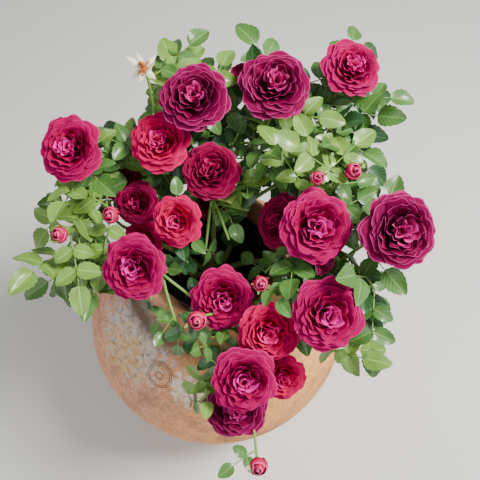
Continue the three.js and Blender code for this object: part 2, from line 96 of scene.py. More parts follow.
# the camera, which looks down on the bush as the photograph does

view = {
    "standsAt": (0.049, -0.410, 1.420),  # metres
    "pitch": 62.0,  # degrees below level
    "lens": 38.85,  # mm
    "film": 36.0,  # mm across
}


def setCamera():
    # tilted up from straight down by 90 degrees less the pitch
    data = bpy.data.cameras.new("camera")
    data.lens = view["lens"]
    data.sensor_width = view["film"]
    camera = addObject("camera", data)
    camera.location = view["standsAt"]
    camera.rotation_euler = (math.radians(90 - view["pitch"]), 0, 0)
    bpy.context.scene.camera = camera


# meshes

def gridFaces(count, rows, columns, around):
    # each cell of each grid is one face, which looks along the column direction times the row direction
    index = np.arange(count * rows * columns).reshape(count, rows, columns)
    beside = np.roll(index, -1, axis=2) if around else index[:, :, 1:]
    here = index if around else index[:, :, :-1]
    return np.stack([here[:, :-1], beside[:, :-1], beside[:, 1:], here[:, 1:]], axis=-1)


def gridPiece(name, points, material, around=False, weld=False, uv=None, cells=None):
    # points is (grids, rows, columns, 3) in mm; cells picks the rows of cells that this piece keeps
    count, rows, columns, _ = points.shape
    faces = gridFaces(count, rows, columns, around)
    if cells is not None:
        faces = faces[:, cells]
    used, faces = np.unique(faces.reshape(-1, 4), return_inverse=True)
    faces = faces.reshape(-1, 4)
    mesh = bpy.data.meshes.new(name)
    mesh.from_pydata(points.reshape(-1, 3)[used] * metresPerMm, [], faces)
    if uv is not None:
        every = np.broadcast_to(uv, (count, rows, columns, 2)).reshape(-1, 2)[used]
        layer = mesh.uv_layers.new(name="UVMap")
        layer.uv.foreach_set("vector", every[faces.ravel()].astype(np.float32).ravel())
    if weld:
        made = bmesh.new()
        made.from_mesh(mesh)
        bmesh.ops.remove_doubles(made, verts=made.verts, dist=weldWithin)
        made.to_mesh(mesh)
        made.free()
    mesh.materials.append(material)
    mesh.shade_smooth()
    piece = addObject(name, mesh)
    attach(piece, "root")
    return piece


def uvOf(across, along):
    # the UV of each point of a grid, from a number for each column and one for each row
    return np.stack(np.meshgrid(across, along), axis=-1)


def turnedAbout(out, aside, high, angle):
    # points out along a bearing, aside from it and high:
    # x = out cos a - aside sin a, y = out sin a + aside cos a
    x = out * np.cos(angle) - aside * np.sin(angle)
    y = out * np.sin(angle) + aside * np.cos(angle)
    return np.stack([x, y, high + 0 * x], axis=-1)


def turnedGrid(profile, sides):
    # a profile of (radius, height) turned about the Z axis
    angle = np.linspace(0, 2 * np.pi, sides, endpoint=False)
    return turnedAbout(profile[:, :1], 0, profile[:, 1:], angle)


def cornerCut(path, rounds):
    # corners cut: each stretch of the path keeps its middle half, and the ends stay
    for _ in range(rounds):
        first = 0.75 * path[:-1] + 0.25 * path[1:]
        second = 0.25 * path[:-1] + 0.75 * path[1:]
        inner = np.stack([first, second], axis=1).reshape(-1, path.shape[1])
        path = np.concatenate([path[:1], inner[1:-1], path[-1:]])
    return path


def sweptGrid(paths, radii, sides):
    # rings carried along many paths: centre + radius (cos a N + sin a B), with N kept square to the tangent
    tangents = unit(np.gradient(paths, axis=1))
    nudge = 1e-6 * np.array([1.0, 0.3, 0.2])  # gives a straight path a reference too
    reference = unit(np.cross(tangents[:, 0], paths[:, -1] - paths[:, 0]) + nudge)
    across = unit(np.cross(tangents, reference[:, None]))
    normal = np.cross(across, tangents)
    other = np.cross(tangents, normal)
    angle = np.linspace(0, 2 * np.pi, sides, endpoint=False)[:, None]
    around = np.cos(angle) * normal[:, :, None] + np.sin(angle) * other[:, :, None]
    return paths[:, :, None] + radii[:, :, None, None] * around


def tubePiece(name, paths, radii, sides, material):
    # a tube along each path, with one row of radii for all, drawn in to a point at both ends
    grid = sweptGrid(paths, np.broadcast_to(radii, paths.shape[:2]), sides)
    start, end = (np.repeat(paths[:, at, None, None], sides, axis=2) for at in (0, -1))
    closed = np.concatenate([start, grid, end], axis=1)
    return gridPiece(name, closed, material, around=True, weld=True)


def leanTo(direction):
    # the turn that takes +Z to a direction the short way round: 1 + K + K K / (1 + z), K its cross product
    x, y, z = direction
    cross = np.array([[0, 0, x], [0, 0, y], [-x, -y, 0]])
    return np.eye(3) + cross + cross @ cross / (1 + z)


def setOn(item, points):
    # points about the origin turned to face the way a twig's tip faces, and carried to it
    return points @ leanTo(item["turn"]).T + item["tip"]["at"]


# curves

def bezier(curve, t):
    # (1-t)^3 a + 3 (1-t)^2 t b + 3 (1-t) t^2 c + t^3 d
    a, b, c, d = curve
    t = np.asarray(t, float)[..., None]
    s = 1 - t
    return s**3 * a + 3 * s**2 * t * b + 3 * s * t**2 * c + t**3 * d


def chordsOf(curve):
    # the curve's parameter at many steps, and the lengths of the chords between them
    fine = np.linspace(0, 1, 201)
    return fine, np.linalg.norm(np.diff(bezier(curve, fine), axis=0), axis=1)


def atLength(curve, share):
    # the curve's own parameter at a share of its length
    fine, lengths = chordsOf(curve)
    run = np.concatenate([[0], np.cumsum(lengths)])
    return np.interp(np.asarray(share, float) * run[-1], run, fine)


def pointAt(curve, share):
    # the point at a share of the curve's length
    return bezier(curve, atLength(curve, share))


def tangentAt(curve, share):
    # the derivative: 3 (1-t)^2 (b-a) + 6 (1-t) t (c-b) + 3 t^2 (d-c)
    a, b, c, d = curve
    t = np.asarray(atLength(curve, share))[..., None]
    s = 1 - t
    return unit(3 * s**2 * (b - a) + 6 * s * t * (c - b) + 3 * t**2 * (d - c))


def curveBetween(start, heading, end, arrival, bend, ease=None):
    # the handles are shares of the span: start + heading span bend, and end - arrival span ease
    span = np.linalg.norm(end - start)
    ease = bend if ease is None else ease
    return np.array([start, start + heading * span * bend, end - arrival * span * ease, end])


def pointInRod(curve, steps, share):
    # the point on the straight line between the two rings of a rod next to that share
    ring = min(steps - 1, math.floor(share * steps))
    within = share * steps - ring
    return pointAt(curve, ring / steps) * (1 - within) + pointAt(curve, (ring + 1) / steps) * within


# shader node groups and materials

class Nodes:
    # adds nodes to a tree, and feeds each socket from another one or with a plain value
    def __init__(self, tree):
        self.tree = tree

    def feed(self, node, given):
        for socket, source in given.items():
            if isinstance(source, bpy.types.NodeSocket):
                self.tree.links.new(source, node.inputs[socket])
            else:
                node.inputs[socket].default_value = source
        return node

    def add(self, kind, given=None, **settings):
        node = self.tree.nodes.new(kind)
        for name, value in settings.items():
            setattr(node, name, value)
        return self.feed(node, given or {}).outputs

    def maths(self, operation, first, second=0.0, third=0.0, clamp=False):
        given = {0: first, 1: second, 2: third}
        return self.add("ShaderNodeMath", given, operation=operation, use_clamp=clamp)[0]

    def times(self, first, second):
        return self.maths("MULTIPLY", first, second)

    def timesPlus(self, first, second, third):
        return self.maths("MULTIPLY_ADD", first, second, third)

    def without(self, value):
        # 1 less the value
        return self.maths("SUBTRACT", 1.0, value)

    def between(self, value, low, high):
        # 0 at low, 1 at high, smooth between
        given = {"Value": value, "From Min": low, "From Max": high}
        return self.add("ShaderNodeMapRange", given, interpolation_type="SMOOTHSTEP")["Result"]

    def mix(self, share, first, second):
        # the node's sockets 6 and 7 are its two colours
        return self.add("ShaderNodeMix", {0: share, 6: first, 7: second}, data_type="RGBA")[2]

    def noise(self, where, size, detail=4.0, roughness=0.55):
        given = {"Vector": where, "Scale": size, "Detail": detail, "Roughness": roughness}
        return self.add("ShaderNodeTexNoise", given)["Fac"]

    def grain(self, where, part):
        # noise as a part of a material describes it
        return self.noise(where, part["size"], part["detail"], part["roughness"])

    def inObject(self):
        return self.add("ShaderNodeTexCoord")["Object"]

    def ownUv(self):
        return self.add("ShaderNodeUVMap", uv_map="UVMap")["UV"]

    def parts(self, vector):
        return self.add("ShaderNodeSeparateXYZ", {0: vector})

    def group(self, tree, given):
        return self.add("ShaderNodeGroup", given, node_tree=tree)


def newGroup(name, inputs, outputs):
    # a node group, the values of its inputs given; a colour has four numbers
    group = bpy.data.node_groups.new(name, "ShaderNodeTree")
    for label, value in inputs.items():
        kind = "NodeSocketColor" if isinstance(value, tuple) else "NodeSocketFloat"
        group.interface.new_socket(label, in_out="INPUT", socket_type=kind).default_value = value
    for label, kind in outputs.items():
        group.interface.new_socket(label, in_out="OUTPUT", socket_type="NodeSocket" + kind)
    nodes = Nodes(group)
    return group, nodes, nodes.add("NodeGroupInput")


def colourOf(red, green, blue):
    # a screen colour from 0 to 255 as the linear colour that shaders take
    share = np.array([red, green, blue]) / 255
    linear = np.where(share <= 0.04045, share / 12.92, ((share + 0.055) / 1.055) ** 2.4)
    return (*[float(value) for value in linear], 1.0)


mottleRule = {
    "finer": 6.3,  # how many times finer the fine noise is
    "fine": {"detail": 3.0, "roughness": 0.7},
    "shares": (0.35, 0.65),  # of the fine and the broad noise
    "passage": 0.12,  # half the width of the passage between the colours
    "depth": 0.001,  # metres of bump where the mottle is a material of its own
}


def makeMottle():
    # two colours mixed by two sizes of noise, and a fine height: used on clay, earth, bark, canes and stalks
    group, nodes, given = newGroup(
        "mottle",
        {"Colour": (0.5, 0.5, 0.5, 1), "Other Colour": (0.2, 0.2, 0.2, 1), "Scale": 20.0, "Share": 0.5},
        {"Colour": "Color", "Height": "Float"},
    )
    where = nodes.inObject()
    broad = nodes.noise(where, given["Scale"])
    finer = nodes.times(given["Scale"], mottleRule["finer"])
    fine = nodes.grain(where, {"size": finer, **mottleRule["fine"]})
    fineShare, broadShare = mottleRule["shares"]
    both = nodes.timesPlus(fine, fineShare, nodes.times(broad, broadShare))
    edge = nodes.without(given["Share"])
    low = nodes.maths("SUBTRACT", edge, mottleRule["passage"])
    high = nodes.maths("ADD", edge, mottleRule["passage"])
    mask = nodes.between(both, low, high)
    mixed = nodes.mix(mask, given["Colour"], given["Other Colour"])
    nodes.add("NodeGroupOutput", {"Colour": mixed, "Height": fine})
    return group


veinRule = {
    "midrib": (0.02, 0.11),  # where it fades out, as shares of the half width
    "slant": -0.34,
    "branch": (0.03, 0.15),
    "branchStrength": 0.45,
    "strength": 0.5,
    "cloud": {"size": 34.0, "detail": 3.0, "roughness": 0.55},
    "shade": (0.9, 0.55),  # how far the cloud darkens the blade: cloud times the first, plus the second
    "sunk": 1.2,
}


def makeBladeVeins():
    # a midrib and slanting side veins along a leaflet's own UV, paler than the blade and sunk into it
    group, nodes, given = newGroup(
        "bladeVeins",
        {"Colour": (0.1, 0.3, 0.05, 1), "Vein Colour": (0.4, 0.6, 0.2, 1), "Veins": 7.0},
        {"Colour": "Color", "Height": "Float"},
    )
    across = nodes.parts(nodes.ownUv())
    side = nodes.maths("ABSOLUTE", nodes.timesPlus(across["X"], 2.0, -1.0))
    midrib = nodes.without(nodes.between(side, *veinRule["midrib"]))
    slant = nodes.timesPlus(side, veinRule["slant"], across["Y"])
    wave = nodes.maths("FRACT", nodes.times(slant, given["Veins"]))
    off = nodes.maths("ABSOLUTE", nodes.maths("SUBTRACT", wave, 0.5))
    branch = nodes.times(nodes.without(nodes.between(off, *veinRule["branch"])), veinRule["branchStrength"])
    veins = nodes.maths("MAXIMUM", midrib, branch)
    shade = nodes.timesPlus(nodes.grain(nodes.inObject(), veinRule["cloud"]), *veinRule["shade"])
    deeper = nodes.add("ShaderNodeHueSaturation", {"Value": shade, "Color": given["Colour"]})["Color"]
    coloured = nodes.mix(nodes.times(veins, veinRule["strength"]), deeper, given["Vein Colour"])
    height = nodes.maths("SUBTRACT", nodes.times(off, veinRule["sunk"]), veins)
    nodes.add("NodeGroupOutput", {"Colour": coloured, "Height": height})
    return group


silkRule = {
    "stretch": (9.0, 1.2, 1.0),
    "streak": {"size": 3.0, "detail": 3.0, "roughness": 0.55},
    "streaks": (0.35, 0.7),
    "streakShare": 0.12,
    "cloud": {"size": 55.0, "detail": 2.0, "roughness": 0.55},
    "clouds": (0.4, 0.72),
    "cloudShare": 0.14,
    # where the painted shade at a petal's base ends, from foot to rim, and how strong it is
    "base": (0.2, 0.85),  # where the dark base ends, from foot to rim
    "baseShare": 0.6,
}


def makePetalSilk():
    # fine streaks that run from a petal's base to its rim along its own UV, soft clouds and painted shade at
    # its base
    group, nodes, given = newGroup(
        "petalSilk",
        {"Colour": (0.5, 0.01, 0.1, 1), "Shade And Streak Colour": (0.1, 0.0, 0.02, 1)},
        {"Colour": "Color", "Height": "Float"},
    )
    along = nodes.ownUv()
    stretched = nodes.add("ShaderNodeMapping", {"Vector": along, "Scale": silkRule["stretch"]})["Vector"]
    streak = nodes.between(nodes.grain(stretched, silkRule["streak"]), *silkRule["streaks"])
    # painted shade: full at the petal's foot, gone towards its rim
    deep = nodes.without(nodes.between(nodes.parts(along)["Y"], *silkRule["base"]))
    cloud = nodes.between(nodes.grain(nodes.inObject(), silkRule["cloud"]), *silkRule["clouds"])
    share = nodes.timesPlus(streak, silkRule["streakShare"], nodes.times(cloud, silkRule["cloudShare"]))
    share = nodes.maths("ADD", share, nodes.times(deep, silkRule["baseShare"]), clamp=True)
    coloured = nodes.mix(share, given["Colour"], given["Shade And Streak Colour"])
    nodes.add("NodeGroupOutput", {"Colour": coloured, "Height": streak})
    return group


mottle = makeMottle()
bladeVeins = makeBladeVeins()
petalSilk = makePetalSilk()


def newMaterial(name, finish):
    # a material with the values that are the same all over set on its Principled BSDF's own sockets
    material = bpy.data.materials.new(name)
    material.use_nodes = True
    nodes = Nodes(material.node_tree)
    shader = nodes.feed(material.node_tree.nodes["Principled BSDF"], finish)
    return material, nodes, shader


def coat(nodes, shader, colour, height, relief):
    # the colour and the bump of a surface; relief is the bump's strength and its depth in metres
    strength, depth = relief
    bump = nodes.add("ShaderNodeBump", {"Height": height, "Strength": strength, "Distance": depth})
    nodes.feed(shader, {"Base Color": colour, "Normal": bump["Normal"]})


def patterned(name, finish, group, given, relief):
    # a material whose colour and height come from one node group
    material, nodes, shader = newMaterial(name, finish)
    made = nodes.group(group, given)
    coat(nodes, shader, made["Colour"], made["Height"], relief)
    return material


def mottling(look):
    # the inputs of the mottle group, as a look describes them
    return {
        "Colour": colourOf(*look["colour"]), "Other Colour": colourOf(*look["other"]),
        "Scale": look["size"], "Share": look["share"],
    }


def mottled(name, look):
    # a material made of the mottle group alone
    relief = (look["bump"], mottleRule["depth"])
    return patterned(name, {"Roughness": look["roughness"]}, mottle, mottling(look), relief)


leafFinish = {"Roughness": 0.45, "Specular IOR Level": 0.3, "Coat Weight": 0.5, "Coat Roughness": 0.2}
leafRelief = (0.35, 0.0006)
petalFinish = {
    "Roughness": 0.7, "Specular IOR Level": 0.06,
    "Subsurface Weight": 0.3, "Subsurface Scale": 0.006, "Subsurface Radius": (1.0, 0.12, 0.35),
}
petalRelief = (0.25, 0.0005)


def bladed(name, look):
    # a waxy blade with veins, for leaves and sepals
    given = {"Colour": colourOf(*look["colour"]), "Vein Colour": colourOf(*look["vein"])}
    return patterned(name, leafFinish, bladeVeins, given, leafRelief)


def silken(name, colour, fold):
    # a matt petal that light passes into, with painted shade at its base
    given = {"Colour": colourOf(*colour), "Shade And Streak Colour": colourOf(*fold)}
    return patterned(name, petalFinish, petalSilk, given, petalRelief)


# the jar

jar = {
    "footRadius": 125,
    "bellyRadius": 280,
    "bellyHeight": 300,
    "upperHalfHeight": 250,
    "lowerHalfHeight": 335,
    "creaseRadius": 166,
    "creaseHeight": 512,
    "creaseStep": 6,
    "neckRadius": 119,
    "neckHeight": 588,
    "lipRadius": 135,
    "lipDepth": 18,
    "lipRound": 8,
    "mouthRadius": 113,
    "height": 615,
    "wall": 20,
    "floor": 24,
    "insideTop": 483,  # where the inner wall leaves the belly's curve
    "sides": 220,
    "steps": 40,
    "insideSteps": 12,
    "rounding": 2,  # times that the profile's corners are cut
    "wheelMarks": 0.35,  # mm, the potter's fine rings
    "dents": 0.8,  # mm, how far the wall wanders from round
    "wanderFrom": 20,  # mm from the axis
    "chips": ((205, 10), (248, 6), (322, 8), (80, 9)),  # bearing and half width in degrees
    "chipDepth": 4.0,
    "chipInward": 0.8,  # how much of the depth goes inward too
    "chipHeight": 9,
    "chipInset": 6,
    "chipFade": 10,
}


def bodyRadius(height):
    # two half ellipses that meet at the belly: R sqrt(1 - ((z - belly) / half)^2)
    above = height - jar["bellyHeight"]
    half = np.where(above > 0, jar["upperHalfHeight"], jar["lowerHalfHeight"])
    return jar["bellyRadius"] * np.sqrt(1 - (above / half) ** 2)


def jarProfile():
    # the outer wall from the foot's middle up, over the lip, and down the inner wall to the floor's middle
    step, lip, wall, floor = jar["creaseStep"], jar["lipRound"], jar["wall"], jar["floor"]
    crease, creaseHeight = jar["creaseRadius"], jar["creaseHeight"]
    neck, neckHeight = jar["neckRadius"], jar["neckHeight"]
    rim, lipFoot = jar["height"], jar["height"] - jar["lipDepth"]
    bodyHeights = np.linspace(0, creaseHeight - 2 * step, jar["steps"])
    body = np.stack([bodyRadius(bodyHeights), bodyHeights], axis=1)
    top = [
        [crease - step, creaseHeight - step],
        [crease - 1, creaseHeight - 2],
        [crease, creaseHeight + step],
        [crease - 9, creaseHeight + 14],
        [neck + lip, neckHeight - wall],
        [neck, neckHeight],
        [jar["lipRadius"] - 3, lipFoot - 3],
        [jar["lipRadius"], lipFoot + 3],
        [jar["lipRadius"], rim - lip],
        [jar["lipRadius"] - lip, rim],
        [jar["mouthRadius"] + lip / 2, rim],
        [jar["mouthRadius"], rim - lip],
        [neck - wall, neckHeight - lip],
        [crease - wall, creaseHeight],
    ]
    insideHeights = np.linspace(jar["insideTop"], floor + 2 * wall, jar["insideSteps"])
    inside = np.stack([bodyRadius(insideHeights) - wall, insideHeights], axis=1)
    ends = [[jar["footRadius"], floor], [0, floor]]
    return cornerCut(np.concatenate([[[0, 0]], body, top, inside, ends]), jar["rounding"])


def chipsAt(radius, bearing, z):
    # short bites out of the lip: depth times the root of 1 - (turn / half width)^2
    chip = np.zeros_like(z)
    for at, half in jar["chips"]:
        turn = np.degrees(np.angle(np.exp(1j * (bearing - math.radians(at)))))
        chip += np.clip(1 - (turn / half) ** 2, 0, None) ** 0.5
    high = np.clip((z - jar["height"] + jar["chipHeight"]) / jar["chipHeight"], 0, 1)
    outer = np.clip((radius - jar["mouthRadius"] - jar["chipInset"]) / jar["chipFade"], 0, 1)
    return jar["chipDepth"] * chip * high * outer


def makeJar():
    # wheel marks ring the wall, and slow waves carry it a little out of round
    grid = turnedGrid(jarProfile(), jar["sides"])
    x, y, z = np.moveaxis(grid, -1, 0)
    radius = np.hypot(x, y)
    bearing = np.arctan2(y, x)
    marks = np.sin(z * 0.62 + 0.6 * np.sin(bearing * 2)) + 0.7 * np.sin(z * 0.23 + bearing)
    waves = np.sin(3 * bearing + z / 61) + 0.7 * np.sin(5 * bearing - z / 37 + 1.3)
    wander = -jar["wheelMarks"] * (1 + marks) - 0.5 * jar["dents"] * (1.7 + waves)
    wander = np.where(radius > jar["wanderFrom"], wander, 0)
    bite = chipsAt(radius, bearing, z)
    share = np.where(radius > 1, (radius + wander - jar["chipInward"] * bite) / np.maximum(radius, 1), 1)
    grid = np.stack([x * share, y * share, z - bite], axis=-1)
    return gridPiece("jar_wall", grid[None], clayMaterial("terracotta"), around=True, weld=True)


# weathered clay, with painted sunlight and painted shade; places and heights in metres

weatherAndPaintedLight = {
    "finish": {"Roughness": 0.86, "Specular IOR Level": 0.25},
    "clay": {"colour": (232, 157, 119), "other": (250, 188, 152), "size": 9.0, "share": 0.5},
    "dust": {"colour": (160, 118, 94), "size": 170.0, "share": 0.47, "strength": 0.6},
    "stain": {
        "colour": (156, 102, 80), "size": 9.0, "detail": 8.0, "roughness": 0.7,
        "from": 0.46, "to": 0.64, "strength": 0.62,
    },
    # painted sunlight on the jar's front right: x from left to right, y from back to front
    "sunlit": {
        "colour": (255, 180, 100), "left": -0.16, "right": 0.06,
        "back": 0.10, "front": -0.10, "strength": 0.85,
    },
    "shoulder": {"foot": (0.40, 0.48), "top": (0.53, 0.50)},  # where crusts ring the jar, fading in and out
    "crust": {"size": 105.0, "share": 0.42},
    "lichen": {
        "colour": (216, 206, 196), "other": (90, 80, 70),
        "at": (-0.150, -0.115, 0.480), "reach": 0.16, "size": 130.0, "strength": 0.9, "round": 0.3,
    },
    "ochre": {
        "colour": (218, 168, 90), "other": (160, 112, 56),
        "at": (-0.176, -0.138, 0.455), "reach": 0.095, "size": 60.0, "strength": 0.6, "round": 0.2,
    },
    "whiteLichen": {
        "colour": (248, 238, 218), "other": (206, 190, 164),
        "at": (-0.044, -0.208, 0.460), "reach": 0.066, "size": 90.0, "strength": 0.8, "round": 0.1,
    },
    "core": 0.25,  # the share of its reach in which a crust is full
    "speck": {"detail": 6.0, "roughness": 0.75, "cover": 0.28, "from": 0.66, "to": 0.76},
    "rough": {"size": 30.0, "detail": 6.0, "roughness": 0.7},  # what frays the edges of bands and splashes
    # painted shade in the crease under the neck
    "groove": {"colour": (84, 66, 46), "from": 0.488, "to": 0.540, "strength": 0.72},
    # painted shade on the neck, under the lip and the leaves
    "neck": {"colour": (118, 88, 68), "from": 0.505, "to": 0.600, "strength": 0.55},
    "bandEdge": {"fray": 0.03, "low": 0.018, "high": 0.014},
    # painted shade on the inside of the mouth
    "inside": {
        "colour": (104, 72, 52), "reach": 0.118, "from": 0.50,
        "strength": 0.85, "edge": 0.01, "rise": 0.03,
    },
    # where wet soil splashes
    "damp": {"colour": (120, 98, 72), "height": 0.075, "strength": 0.7, "fray": 0.09},
    "spots": {
        "colour": (92, 76, 62), "size": 66.0, "detail": 4.0, "roughness": 0.6,
        "from": 0.67, "to": 0.74, "strength": 0.6,
    },
    "pits": {"size": 190.0, "detail": 5.0, "roughness": 0.7, "relief": (0.5, 0.0014)},
}


def over(nodes, colour, mask, part):
    # a part's own colour laid over another one, by its mask times its strength
    return nodes.mix(nodes.times(mask, part["strength"]), colour, colourOf(*part["colour"]))


def nearTo(nodes, where, part):
    # 1 at the part's place, falling smoothly to 0 at its reach
    away = nodes.add("ShaderNodeVectorMath", {0: where, 1: part["at"]}, operation="DISTANCE")["Value"]
    return nodes.without(nodes.between(away, weatherAndPaintedLight["core"] * part["reach"], part["reach"]))


def dustyClayAndSunlight(nodes, where, parts):
    # mottled clay with painted sunlight at the front right, under fine dust and large stains
    clay, dust, sunlit, stain = (weatherAndPaintedLight[name] for name in ("clay", "dust", "sunlit", "stain"))
    colour = nodes.group(mottle, mottling(clay))["Colour"]
    # painted sunlight, laid over the clay towards the front right
    side = nodes.between(parts["X"], sunlit["left"], sunlit["right"])
    front = nodes.between(parts["Y"], sunlit["back"], sunlit["front"])
    colour = over(nodes, colour, nodes.times(side, front), sunlit)
    dusty = nodes.group(mottle, {
        "Colour": colour, "Other Colour": colourOf(*dust["colour"]),
        "Scale": dust["size"], "Share": dust["share"],
    })
    colour = nodes.mix(dust["strength"], colour, dusty["Colour"])
    return over(nodes, colour, nodes.between(nodes.grain(where, stain), stain["from"], stain["to"]), stain)


def crusts(nodes, where, height, colour):
    # each growth covers its own place and, thinly, the shoulder all round. It breaks up into specks
    # towards its edge, where its cover and fine noise together pass a threshold
    band, speck = weatherAndPaintedLight["shoulder"], weatherAndPaintedLight["speck"]
    shoulder = nodes.times(nodes.between(height, *band["foot"]), nodes.between(height, *band["top"]))
    for kind in ("lichen", "ochre", "whiteLichen"):
        growth = weatherAndPaintedLight[kind]
        cover = nodes.maths("MAXIMUM", nearTo(nodes, where, growth), nodes.times(shoulder, growth["round"]))
        fine = nodes.grain(where, {**speck, "size": growth["size"]})
        mask = nodes.between(nodes.timesPlus(cover, speck["cover"], fine), speck["from"], speck["to"])
        crust = nodes.group(mottle, mottling({**growth, **weatherAndPaintedLight["crust"]}))
        colour = nodes.mix(nodes.times(mask, growth["strength"]), colour, crust["Colour"])
    return colour


def paintedNeckShade(nodes, height, rough, colour):
    # painted shade on the neck and darker painted shade in the groove under it, ragged at their edges
    edge = weatherAndPaintedLight["bandEdge"]
    ragged = nodes.timesPlus(rough, edge["fray"], nodes.maths("ADD", height, -0.5 * edge["fray"]))
    for band in (weatherAndPaintedLight["neck"], weatherAndPaintedLight["groove"]):
        low = nodes.between(ragged, band["from"], band["from"] + edge["low"])
        high = nodes.between(ragged, band["to"] + edge["high"], band["to"] - edge["high"])
        colour = over(nodes, colour, nodes.times(low, high), band)
    return colour


def mouthShadeAndDampFoot(nodes, parts, rough, colour):
    # painted shade on the inside of the mouth, by the distance from the axis, and the damp foot, ragged at
    # its top
    inside, damp = weatherAndPaintedLight["inside"], weatherAndPaintedLight["damp"]
    height = parts["Z"]
    flat = nodes.add("ShaderNodeCombineXYZ", {0: parts["X"], 1: parts["Y"]})[0]
    reach = nodes.add("ShaderNodeVectorMath", {0: flat}, operation="LENGTH")["Value"]
    within = nodes.without(nodes.between(reach, inside["reach"], inside["reach"] + inside["edge"]))
    high = nodes.between(height, inside["from"], inside["from"] + inside["rise"])
    colour = over(nodes, colour, nodes.times(within, high), inside)
    splash = nodes.timesPlus(rough, damp["fray"], nodes.maths("ADD", height, -0.5 * damp["fray"]))
    wet = nodes.without(nodes.between(splash, 0.2 * damp["height"], damp["height"]))
    return over(nodes, colour, wet, damp)


def darkenGrooves(nodes, colour):
    # darker lines along the seal's grooves, by the distance from its middle that its UV holds
    along = nodes.parts(nodes.ownUv())["Y"]
    grooveDarkening = {"colour": weatherAndPaintedLight["groove"]["colour"], "strength": seal["grooveDarkening"]}
    for middle, width, _ in seal["grooves"]:
        away = nodes.maths("ABSOLUTE", nodes.maths("SUBTRACT", along, middle / seal["radius"]))
        clean = nodes.between(away, 0.3 * width / seal["radius"], 1.3 * width / seal["radius"])
        colour = over(nodes, colour, nodes.without(clean), grooveDarkening)
    return colour


def clayMaterial(name, withGrooves=False):
    # the clay's layers laid one over the other, with fine pits as bump
    material, nodes, shader = newMaterial(name, weatherAndPaintedLight["finish"])
    where = nodes.inObject()
    parts = nodes.parts(where)
    rough = nodes.grain(where, weatherAndPaintedLight["rough"])
    colour = dustyClayAndSunlight(nodes, where, parts)
    colour = crusts(nodes, where, parts["Z"], colour)
    colour = paintedNeckShade(nodes, parts["Z"], rough, colour)
    colour = mouthShadeAndDampFoot(nodes, parts, rough, colour)
    spots, pits = weatherAndPaintedLight["spots"], weatherAndPaintedLight["pits"]
    colour = over(nodes, colour, nodes.between(nodes.grain(where, spots), spots["from"], spots["to"]), spots)
    if withGrooves:
        colour = darkenGrooves(nodes, colour)
    coat(nodes, shader, colour, nodes.grain(where, pits), pits["relief"])
    return material


# a plain ring seal pressed into the shoulder

seal = {
    "bearing": 242,
    "height": 467,
    "radius": 28,
    "raised": 1.7,  # mm above the wall
    # each groove's distance from the middle, its half width and its depth
    "grooves": ((24.5, 1.0, 1.3), (20.5, 0.9, 1.2), (7.0, 1.0, 1.1)),
    "rim": 2.5,  # width of the edge that sinks into the wall
    "sunk": 4.5,
    "rings": 57,
    "sides": 72,
    # how strongly the seal's grooves are darkened
    "grooveDarkening": 0.8,
}


def makeSeal():
    # a round patch on the wall, sunk at its rim:
    # h(r) = raised - sum of depth exp(-((r - groove) / width)^2) - sunk edge^2
    distance = np.linspace(0, seal["radius"], seal["rings"])
    angle = np.linspace(0, 2 * np.pi, seal["sides"], endpoint=False)
    relief = np.zeros_like(distance)
    for groove, width, depth in seal["grooves"]:
        relief += depth * np.exp(-(((distance - groove) / width) ** 2))
    edge = np.clip((distance - seal["radius"] + seal["rim"]) / seal["rim"], 0, 1)
    lift = (seal["raised"] - relief - seal["sunk"] * edge**2)[:, None]
    sideways = distance[:, None] * np.cos(angle)
    upward = distance[:, None] * np.sin(angle)
    slope = (bodyRadius(seal["height"] + 1.0) - bodyRadius(seal["height"] - 1.0)) / 2
    height = seal["height"] + upward / math.hypot(1, slope)
    bearing = math.radians(seal["bearing"]) + sideways / bodyRadius(seal["height"])
    outward, upright = unit(np.array([1.0, -slope]))
    grid = turnedAbout(bodyRadius(height) + lift * outward, 0, height + lift * upright, bearing)
    uv = uvOf(angle / (2 * np.pi), distance / seal["radius"])
    clay = clayMaterial("sealed_clay", withGrooves=True)
    return gridPiece("ring_seal", grid[None], clay, around=True, weld=True, uv=uv)


# the earth in the jar, and the graft knob on it

earth = {
    "level": 490,
    "gap": 0.3,  # to the jar's wall and floor
    "edgeDrop": 7,
    "lump": 1.5,  # mm
    "lumpFrom": 478,  # the lumps fade in above this height
    "lumpRise": 5,
    "lumpReach": 165,  # and fade out towards this distance from the axis
    "lumpFade": 20,
    "sides": 96,
    "wallSteps": 10,
    "topSteps": 40,
    "clods": 170,
    "clodSize": (3.0, 9.0),
    "clodReach": 150,
    "clodSpread": (0.06, 1),  # the squared share of that reach
    "clodSink": 0.5,
    "look": {
        "colour": (44, 34, 27), "other": (92, 72, 54),
        "size": 60.0, "share": 0.42, "roughness": 0.95, "bump": 0.9,
    },
}
clod = {"rows": 7, "columns": 10, "swell": 0.18, "lobe": 0.14, "squat": (1, 1, 0.75)}


